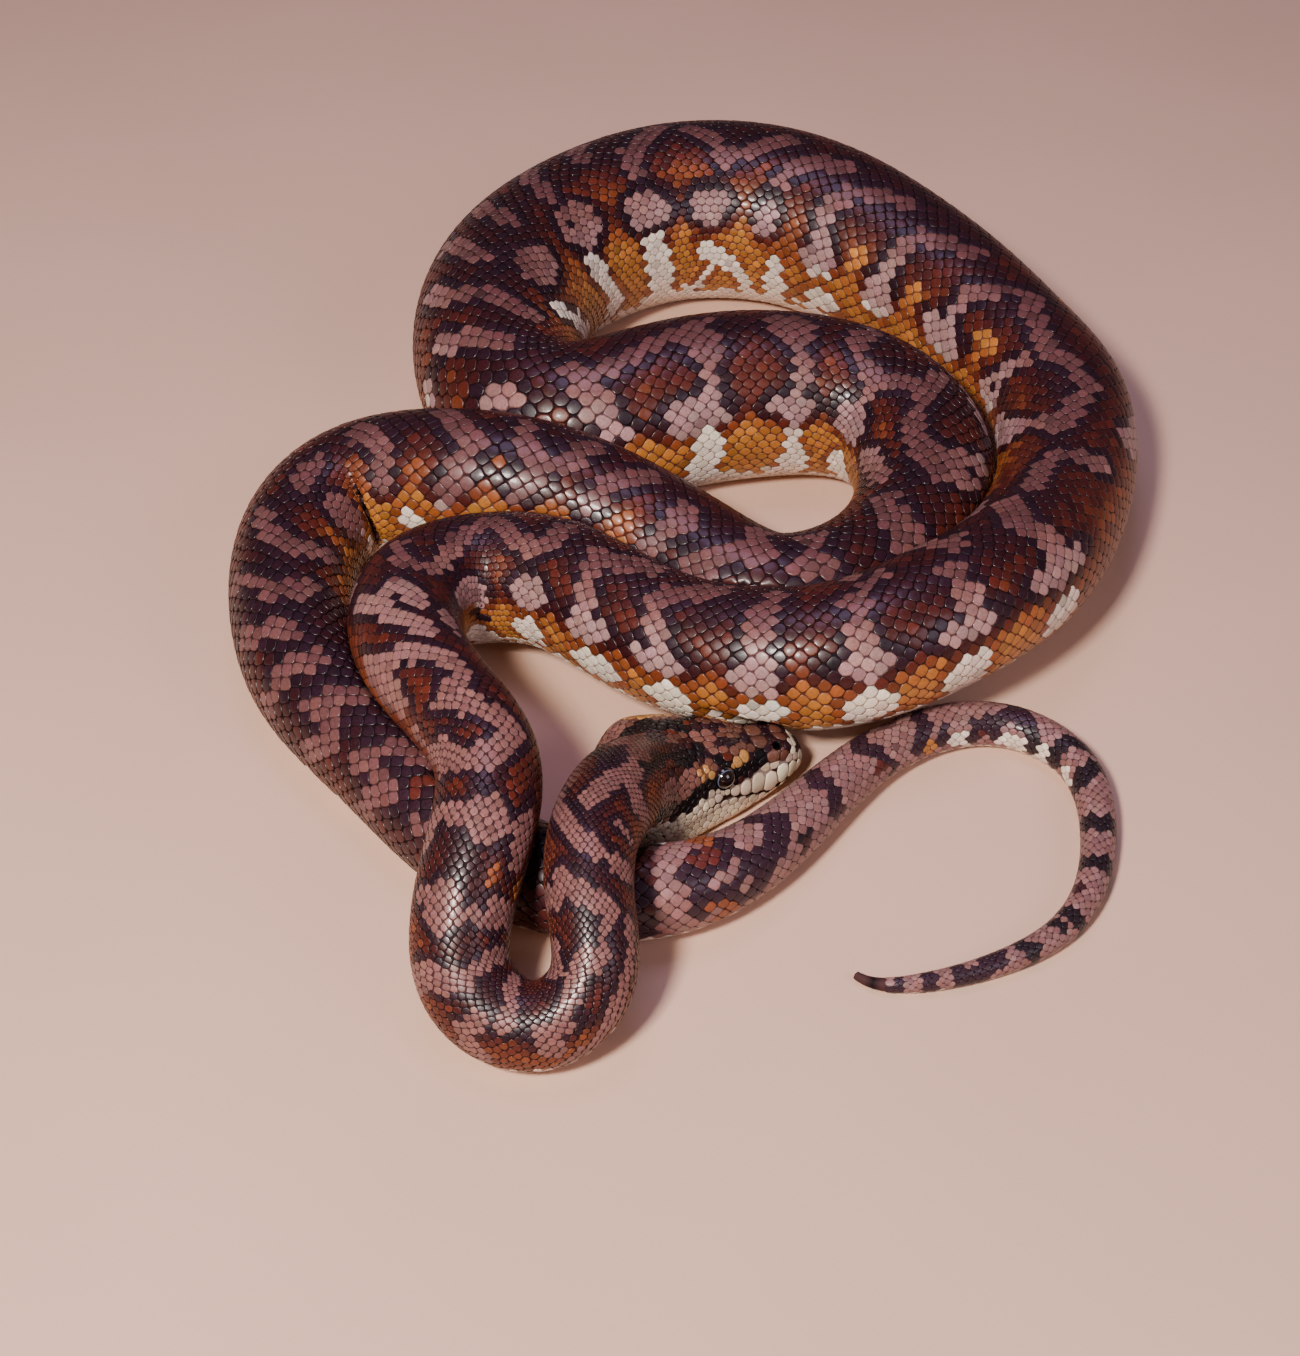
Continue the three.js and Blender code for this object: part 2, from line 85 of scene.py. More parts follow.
# One row for each section of the head: b is the distance behind the snout tip, and the rest are
# heights and half-widths of the crown, brow, cheek, mouth line, jaw and chin.
HEAD_COLUMNS = (
    "b", "top", "crown", "drop", "side", "brow", "wide", "level", "lip", "jaw", "chin",
)
HEAD_ROWS = np.array([
    [0, 3.4, 1.9, 0.5, 2.6, 1.8, 3, 0.4, -1.6, 2.4, -3],
    [1, 5.2, 3.2, 0.6, 4.3, 2.9, 4.9, 0.6, -2, 4, -4.3],
    [5, 8.7, 5.4, 0.8, 6.9, 4.9, 7.7, 0.6, -2.7, 6.4, -6.2],
    [9, 10.6, 6.5, 0.8, 8.3, 5.4, 9.5, 0, -3.8, 8, -7.8],
    [14, 10.8, 6.8, 0.9, 9.3, 4.8, 11, -1, -4.7, 9.6, -9.4],
    [20, 11.3, 7.4, 0.9, 10.3, 5.2, 12.6, 0, -3.2, 11.2, -10.9],
    [26, 12.8, 9.8, 0.9, 11.7, 6.2, 14.2, 0.6, -1.8, 13, -11.8],
    [31, 13.5, 11.4, 1.2, 12.6, 6.8, 15.4, 0.6, -2.2, 14.3, -12.4],
    [38, 14.4, 13.8, 1.6, 15.8, 7.4, 17.8, 1, -2.8, 16.4, -13],
    [45, 15, 15.8, 2, 18.9, 7.8, 20.4, 1, -3.2, 18.8, -13.6],
    [52, 15.3, 16.8, 2.4, 20.4, 7.8, 21.8, 0.5, -5.6, 20, -14.2],
    [58, 15.4, 16.2, 2.8, 19.9, 7.8, 21.2, 0, -6.2, 19, -14.8],
    [66, 15.4, 13.6, 3.2, 17, 7.6, 18.4, 0, -6.4, 16, -15],
    [80, 15, 10.6, 4.4, 14, 7, 15, 0, -6.4, 13.4, -15],
], float)

# Height of the mouth line at a distance b behind the tip of the snout.
MOUTH_LINE = np.array([
    [0, -1.6], [1, -2], [5, -2.4], [9, -2.6], [12, -3.4], [14.5, -4.2], [19.5, -2.4], [22.5, -1.4],
    [26.5, 0.5], [30.5, 1.3], [35, 1.4], [40, 0.8], [48, -0.4], [55, -3.2], [60, -4.6], [72, -6],
], float)


@dataclass(frozen=True)
class Organ:
    """A round organ of the head: its radius, and its place in the head's own frame."""

    radius: float
    b: float
    out: float
    up: float


EYE = Organ(radius=3.7, b=32.6, out=12.35, up=8.0)
NOSTRIL = Organ(radius=1.25, b=11.4, out=5.6, up=10.4)
MOUTH_CORNER = 60.0  # the mouth ends this far behind the tip of the snout
COAT_DEPTH = 0.45  # the skin lies this far inside the animal's outline
VENTRAL_FROM = math.radians(147)  # the broad belly plates begin at this turn
TIP_LEFT = 1.5  # nothing of the coat grows on this last bit of the tail
FLOOR_CLEAR = 0.02  # the coat stays this far above the floor


# ---------- small numeric helpers
def smooth(t: Array) -> Array:
    """Eased share of the way for t from 0 to 1, as t t (3 - 2 t)."""
    t = np.clip(t, 0.0, 1.0)
    return t * t * (3.0 - 2.0 * t)


def ramp(x: Array, start: float, length: float) -> Array:
    """Eased rise from 0 to 1 over a length from a start."""
    return smooth((x - start) / length)


def wrapped(theta: Array) -> Array:
    """The same turn, counted from -pi to pi."""
    return np.arctan2(np.sin(theta), np.cos(theta))


def unit(v: Array) -> Array:
    """Vectors along the last axis, scaled to length one."""
    return v / np.maximum(np.linalg.norm(v, axis=-1, keepdims=True), 1e-12)


def through_rows(xs: Array, ys: Array, x: Array) -> Array:
    """Smooth curve through points, with its own points for each row.

    Between two points the curve is y0 (1 - r) + y1 r + w t (1 - t) (m0 (1 - t) - m1 t), with t the
    share of the way, r its eased share, w the width and m the slopes between the neighbours.

    Args:
        xs: rising places of the points, rows by points.
        ys: values at them, rows by points.
        x: one place for each row.

    Returns:
        The value at each x.
    """
    last = xs.shape[1] - 1
    low = np.maximum(np.arange(last + 1) - 1, 0)
    high = np.minimum(np.arange(last + 1) + 1, last)
    slope = (ys[:, high] - ys[:, low]) / (xs[:, high] - xs[:, low])
    x = np.clip(x, xs[:, 0], xs[:, -1])
    i = np.clip((xs < x[:, None]).sum(1) - 1, 0, last - 1)
    row = np.arange(len(x))
    width = xs[row, i + 1] - xs[row, i]
    t = (x - xs[row, i]) / width
    rise = smooth(t)
    bow = width * t * (1 - t) * (slope[row, i] * (1 - t) - slope[row, i + 1] * t)
    return ys[row, i] * (1 - rise) + ys[row, i + 1] * rise + bow


def through(points: Array, x: Array) -> Array:
    """Smooth curve through (x, y) points, taken at each x."""
    x = np.atleast_1d(np.asarray(x, float))
    flat = x.ravel()
    xs = np.broadcast_to(points[:, 0], (len(flat), len(points)))
    ys = np.broadcast_to(points[:, 1], (len(flat), len(points)))
    return through_rows(xs, ys, flat).reshape(x.shape)


# ---------- the lie of the spine
class Frames(NamedTuple):
    """Places along the spine with their frames, one row for each.

    bend is the change of the tangent for a millimetre of the spine.
    """

    origin: Array
    tangent: Array
    up: Array
    left: Array
    bend: Array


class Spine:
    """A uniform cubic B-spline drawn by the way-points, stored at even distances."""

    STEP = 2.0  # between the stored stations
    PARTS = 24  # straight parts between two way-points, to measure by

    def __init__(self, waypoints: Array) -> None:
        """Traces the spline and keeps its points, tangents and bends."""
        ends = 2 * waypoints[0] - waypoints[1], 2 * waypoints[-1] - waypoints[-2]
        control = np.vstack([ends[0], waypoints, ends[1]])
        spans = len(control) - 3
        t = np.arange(spans * self.PARTS + 1) / self.PARTS
        i = np.minimum(t.astype(int), spans - 1)
        f = t - i
        g = 1 - f
        weights = [g**3, 4 - 6 * f**2 + 3 * f**3, 4 - 6 * g**2 + 3 * g**3, f**3]
        fine = sum(w[:, None] / 6 * control[i + k] for k, w in enumerate(weights))
        steps = np.linalg.norm(np.diff(fine, axis=0), axis=1)
        along = np.concatenate([[0.0], np.cumsum(steps)])
        self.s = np.arange(int(along[-1] / self.STEP) + 1) * self.STEP
        self.point = np.stack([np.interp(self.s, along, fine[:, k]) for k in range(3)], 1)
        self.tangent = unit(np.gradient(self.point, self.STEP, axis=0))
        self.bend = np.gradient(self.tangent, self.STEP, axis=0)

    def _along(self, values: Array, s: Array) -> Array:
        """Stored vectors, taken between the stations at each s."""
        return np.stack([np.interp(s, self.s, values[:, k]) for k in range(3)], -1)

    def at(self, s: Array) -> Frames:
        """The frames at each s: up is the vertical made square to the tangent."""
        tangent = unit(self._along(self.tangent, s))
        up = unit(np.array([0.0, 0.0, 1.0]) - tangent * tangent[..., 2:])
        left = np.cross(tangent, up)
        return Frames(self._along(self.point, s), tangent, up, left, self._along(self.bend, s))


# ---------- the head's stiff shape
class HeadShape:
    """The skull and jaws, which are straight, joined smoothly to the round neck."""

    TAPER = (53.0, 71.0)  # the skull's section shrinks to nothing between these
    NECK_FROM = 30.0  # the round neck begins here, inside the skull
    NAPE_BLEND = 4.0  # size of the fillet between the two
    NAPE_END = 96.0  # the skull shapes the outline as far as this
    ROUNDS = 16  # steps inwards in the search for the surface
    JAW_EDGE_RISE = 2.6  # the jaw's edge lies this far above the chin
    LIP_TUCK = 0.5  # the mouth line lies this far inside the cheek

    def __init__(self, spine: Spine) -> None:
        """Puts the head's own frame at the front of the spine."""
        self.origin = spine.point[0]
        self.tangent = unit(WAYPOINTS[2] - WAYPOINTS[0])
        self.up = unit(np.array([0.0, 0.0, 1.0]) - self.tangent * self.tangent[2])
        self.left = np.cross(self.tangent, self.up)
        last = self.NAPE_END + 2 * self.NECK_FROM
        self.neck = spine.point[int(self.NECK_FROM / Spine.STEP) : int(last / Spine.STEP)]
        self.neck_girth = girth(np.arange(len(self.neck)) * Spine.STEP + self.NECK_FROM)

    def place(self, b: float, out: float, up: float) -> Array:
        """The point b behind the snout, out to the left and up from the head's axis."""
        return self.origin + self.tangent * b + self.left * out + self.up * up

    def coordinates(self, points: Array) -> tuple[Array, Array, Array]:
        """Distance behind the snout, out to the left, and up, of each point."""
        away = points - self.origin
        return away @ self.tangent, away @ self.left, away @ self.up

    @staticmethod
    def value(name: str, b: Array) -> Array:
        """One column of the head's table, at each b."""
        return through(HEAD_ROWS[:, [0, HEAD_COLUMNS.index(name)]], b)

    def section(self, b: Array, angle: Array) -> Array:
        """Distance from the head's axis to its surface, at each b and turn."""
        v = {name: self.value(name, b) for name in HEAD_COLUMNS[1:]}
        none = np.zeros_like(b)
        out = [none, v["crown"], v["side"], v["wide"], v["wide"] - self.LIP_TUCK, v["jaw"], none]
        up = [v["top"], v["top"] - v["drop"], v["brow"], v["level"], v["lip"],
              v["chin"] + self.JAW_EDGE_RISE, v["chin"]]
        out, up = np.stack(out, 1), np.stack(up, 1)
        return through_rows(np.arctan2(out, up), np.hypot(out, up), np.abs(wrapped(angle)))

    def head_gap(self, points: Array) -> Array:
        """Distance of each point outside the skull and jaws, measured across their axis."""
        b, out, up = self.coordinates(points)
        fade = np.clip((b - self.TAPER[0]) / (self.TAPER[1] - self.TAPER[0]), 0, 1)
        across = np.hypot(out, up) - self.section(b, np.arctan2(out, up)) * np.sqrt(1 - fade**2)
        return np.maximum(across, b - self.TAPER[1])

    def gap(self, points: Array) -> Array:
        """Distance outside the head and neck together, with a fillet where they meet."""
        head = self.head_gap(points)
        far = np.linalg.norm(points[:, None] - self.neck, axis=2) - self.neck_girth
        neck = far.min(1)
        near = np.maximum(self.NAPE_BLEND - np.abs(head - neck), 0) / self.NAPE_BLEND
        return np.minimum(head, neck) - near**2 * self.NAPE_BLEND / 4

    def reach(self, start: Array, origin: Array, direction: Array) -> Array:
        """Reach of the surface from the spine, found by stepping inwards by the gap."""
        reach = start.copy()
        for _ in range(self.ROUNDS):
            reach -= self.gap(origin + direction * reach[:, None])
        return reach


def girth(s: Array) -> Array:
    """Half-width of the body at each s."""
    return through(GIRTH, s)


# ---------- the whole outline
class Surface:
    """The animal's outline as a grid of points over s and the turn about the spine.

    It is the solids' own outline: soft flesh stays short of the centre of a tight bend, two
    lengths that meet share the squeeze, and nothing goes below the floor.
    """

    HEAD_STEP = 0.5  # between the rings of the head
    HEAD_TO = 66.0  # where these rings end
    ANGLES = 128  # points in each ring
    HEAD_END = 64.0  # the head is stiff as far as this, and the rest is soft
    TOUCH_GAP = 0.6  # room left between two lengths that meet
    HEAD_CLEAR = 2.6  # room left between the head and what lies beside it
    TOUCH_ROUNDS = 14  # how often each length gives way a little
    INNER_LIMIT = 0.9  # flesh fills this share of the way to a bend's centre
    INNER_SOFTNESS = 8  # how suddenly it stops there
    NEAR_ALONG = 60.0  # lengths nearer than this along the spine don't squeeze,
    NEAR_GIRTHS = 2.3  # nor those nearer than this share of their half-widths
    REACH_BEYOND = 18.0  # lengths this far from touching aren't looked at
    HALF_STEP = 0.5  # slopes are measured this far to both sides along,
    HALF_TURN = 0.05  # and this turn to both sides, in radians
    LEAST_ACROSS = 1e-3  # least outline that a radian of turn goes over
    LEAST_ALONG = 0.05  # least outline that a millimetre of s goes over

    def __init__(self, spine: Spine) -> None:
        """Works out the outline all along the animal."""
        self.spine = spine
        self.head = HeadShape(spine)
        fine = np.arange(0.0, self.HEAD_TO, self.HEAD_STEP)
        self.s = np.concatenate([fine, np.arange(self.HEAD_TO, LENGTH, Spine.STEP)])
        self.theta = np.arange(self.ANGLES) * 2 * np.pi / self.ANGLES
        frames = spine.at(self.s)
        turn = self.theta[None, :, None]
        across = np.cos(turn) * frames.up[:, None] + np.sin(turn) * frames.left[:, None]
        reach = np.repeat(girth(self.s)[:, None], self.ANGLES, 1)
        front = self.s < HeadShape.NAPE_END
        origin = np.broadcast_to(frames.origin[:, None], across.shape)
        shaped = self.head.reach(
            reach[front].ravel(), origin[front].reshape(-1, 3), across[front].reshape(-1, 3)
        )
        reach[front] = shaped.reshape(-1, self.ANGLES)
        crowding = reach * np.einsum("sak,sk->sa", across, frames.bend) / self.INNER_LIMIT
        crowding = np.maximum(crowding, 0)
        reach /= (1 + crowding**self.INNER_SOFTNESS) ** (1 / self.INNER_SOFTNESS)
        reach = self._squeezed(reach, origin, across)
        self.points = origin + across * reach[..., None]
        self.points[..., 2] = np.maximum(self.points[..., 2], 0.0)
        self.normals = self._normals()

    def _squeezed(self, reach: Array, origin: Array, across: Array) -> Array:
        """The reach after each ring has given way to what touches it."""
        stations = self.spine.s[::2]
        spots = self.spine.point[::2]
        sizes = girth(stations)
        result = reach.copy()
        for row in np.flatnonzero(self.s >= self.HEAD_END):
            s = self.s[row]
            own = girth(s)[0]
            apart = np.abs(stations - s)
            both = own + sizes
            clear = np.where(
                (s < HeadShape.NAPE_END) | (stations < HeadShape.NAPE_END),
                2 * both,
                both + self.REACH_BEYOND,
            )
            distance = np.linalg.norm(spots - origin[row, 0], axis=1)
            near = apart > np.maximum(self.NEAR_ALONG, self.NEAR_GIRTHS * both)
            near &= distance < clear
            if near.any():
                result[row] = self._pressed(
                    reach[row], origin[row], across[row], spots[near], sizes[near], stations[near]
                )
        return result

    def _pressed(
        self,
        reach: Array,
        origin: Array,
        across: Array,
        spots: Array,
        sizes: Array,
        stations: Array,
    ) -> Array:
        """One ring's reach, shared evenly with the lengths that it meets."""
        soft = stations >= self.HEAD_END
        hard = stations.min() < self.HEAD_END
        now = reach.copy()
        for _ in range(self.TOUCH_ROUNDS):
            points = origin + across * now[:, None]
            gap = np.full(len(points), np.inf)
            if soft.any():
                far = np.linalg.norm(points[:, None] - spots[soft], axis=2) - sizes[soft]
                gap = far.min(1)
            if hard:
                gap = np.minimum(gap, self.head.head_gap(points))
            excess = self.HEAD_CLEAR - gap if hard else now - reach - gap + self.TOUCH_GAP
            now -= np.maximum(0, excess) / 2
        return now

    def _normals(self) -> Array:
        """Outward directions of the outline at the grid's points."""
        along = np.gradient(self.points, axis=0)
        around = np.roll(self.points, -1, 1) - np.roll(self.points, 1, 1)
        return unit(np.cross(around, along))

    def _mixed(self, grid: Array, s: Array, theta: Array) -> Array:
        """Grid values between the four grid points about each place."""
        x = np.interp(s, self.s, np.arange(len(self.s)))
        i = np.clip(x.astype(int), 0, len(self.s) - 2)
        y = np.mod(theta, 2 * np.pi) * self.ANGLES / (2 * np.pi)
        j = y.astype(int) % self.ANGLES
        k = (j + 1) % self.ANGLES
        f = (x - i)[..., None]
        g = (y - np.floor(y))[..., None]
        front = grid[i, j] * (1 - g) + grid[i, k] * g
        return front * (1 - f) + (grid[i + 1, j] * (1 - g) + grid[i + 1, k] * g) * f

    def place(self, s: Array, theta: Array, lift: Array | float) -> Array:
        """Points on the outline, or lift millimetres outside it."""
        normal = unit(self._mixed(self.normals, s, theta))
        return self._mixed(self.points, s, theta) + normal * np.asarray(lift)[..., None]

    def axes(self, s: Array, theta: Array) -> tuple[Array, Array, Array]:
        """Unit directions along, across and out of the outline at each place."""
        pull, turn = self._slopes(s, theta)
        along = unit(pull)
        out = unit(np.cross(turn, pull))
        return along, np.cross(along, out), out

    def _slopes(self, s: Array, theta: Array) -> tuple[Array, Array]:
        """Change of the outline's point for one millimetre of s, and for one radian of turn."""
        ahead, behind = [self.place(s + d, theta, 0.0) for d in (self.HALF_STEP, -self.HALF_STEP)]
        left, right = [self.place(s, theta + d, 0.0) for d in (self.HALF_TURN, -self.HALF_TURN)]
        return (ahead - behind) / (2 * self.HALF_STEP), (left - right) / (2 * self.HALF_TURN)

    def rates(self, s: Array, theta: Array) -> Array:
        """How s and theta change for a millimetre along and a millimetre across each place.

        Args:
            s: distance along the spine.
            theta: turn about the spine.

        Returns:
            Three numbers for each place: s per millimetre along, and s and theta per
            millimetre across.
        """
        pull, turn = self._slopes(s, theta)
        along = unit(pull)
        across = np.cross(along, unit(np.cross(turn, pull)))
        by = 1 / np.maximum((turn * across).sum(-1), self.LEAST_ACROSS)
        stretch = np.maximum(np.linalg.norm(pull, axis=-1), self.LEAST_ALONG)
        return np.stack([1 / stretch, -by * (turn * along).sum(-1) / stretch, by], -1)

    def step(self, s: Array, theta: Array, x: Array, y: Array) -> tuple[Array, Array]:
        """The place x millimetres along the outline and y across it from each place."""
        rate = self.rates(s, theta)
        return s + x * rate[..., 0] + y * rate[..., 1], theta + y * rate[..., 2]


# ---------- the markings
class Tone(Enum):
    """Pigments of the scales: their colour, that of the skin around them, and how full they are.

    They form a ladder. Dark scales run from black to gold without a step, and light ones from
    cream to tan, so a place on the ladder may lie between two of them.
    """

    BLACK = ("#0e080c", "#080405", 1.0)
    PURPLE = ("#230e1a", "#0f070c", 1.0)
    UMBER = ("#2e0d11", "#100609", 1.2)
    RUST = ("#501d12", "#1c0b0e", 1.4)
    OCHRE = ("#84441f", "#2c151a", 1.7)
    GOLD = ("#a96a2a", "#462a2e", 1.7)
    CREAM = ("#e2d4c4", "#a08a7c", 0.75)
    PALE = ("#9a7775", "#3a2026", 0.6)
    TAN = ("#78504c", "#2b151a", 0.6)
    ROSE = ("#543133", "#221015", 0.7)
    BUFF = ("#a8774a", "#4a2e20", 0.8)

    @property
    def step(self) -> float:
        """The tone's place on the ladder."""
        return float(list(Tone).index(self))


def on_ladder(values: Array, steps: Array) -> Array:
    """The values at places on the ladder, taken between its tones."""
    at = np.arange(len(values))
    return np.stack([np.interp(steps, at, v) for v in np.atleast_2d(values.T)], -1)


# Each line is a tone, then its half-width in millimetres or half-length x half-turn in degrees,
# then the places (s,degrees) that its stroke passes or where its patches lie.
HEAD_MARKS = """
rose 2.6: 9,-6 9,6
rose 3: 16.5,-12 16.5,10
rose 2.8: 11.5,-28
umber 2.3: 11.4,-28
rose 1.9: 10.5,-46 14,-44
purple 2.1: 22,-9 27,-12 29,4 31,14
rose 2.2: 17,22 21,17 25,5 27,-3
rose 1.5: 21,-25 24,-22
buff 2.3: 24,-36
buff 2: 27.4,-43
rose 1.6: 27.5,-29 32,-30
pale 2.7: 33.5,-4 38,-6 40,-15 36,-20
black 1.9: 17.5,-32 19,-46
black 1.8: 21.5,-51 25,-54 29,-56
black 1.7: 30,-38 37,-38
rust 1.2: 31,-33
black 2.5: 42,-20 50,-28 58,-37 66,-42 76,-38 84,-34
rust 1.5: 66,-46 70,-48
rust 1.3: 76,-50
rust 2.2: 44,22 49,17
rust 1.6: 37,30 40,34
rose 1.7: 45,5 52,-1 55,-8
umber 1.8: 44,-6 49,-12
rose 1.3: 38,-42 46,-43 53,-47
buff 2.7: 41,-49 46,-53 51,-57
pale 3.6: 55,-61 62,-73 68,-84 75,-86 80,-84
black 2.6: 37,-64 43,-67 50,-75 56,-86 61,-98 66,-107 74,-106 83,-102
rose 3.6: 56,44 60,30 66,14 71,0 75,-9 80,-19
pale 3: 66,36 73,22 76,14
rose 2.2: 82,48 90,46 98,46
cream 1.2: 3.2,22 4.2,0 4.6,-14 5.2,-34
"""

# Past this turn, at a distance s, the head's lips, throat and jaw are cream.
CREAM_EDGE = np.array([
    [0, 38], [6, 44], [9, 52], [16, 55], [20, 61], [28, 67], [31, 69], [35, 71], [41, 69],
    [47, 77], [52, 86], [58, 98], [62, 106], [66, 119], [80, 124], [95, 118], [110, 135],
    [150, 150],
], float)

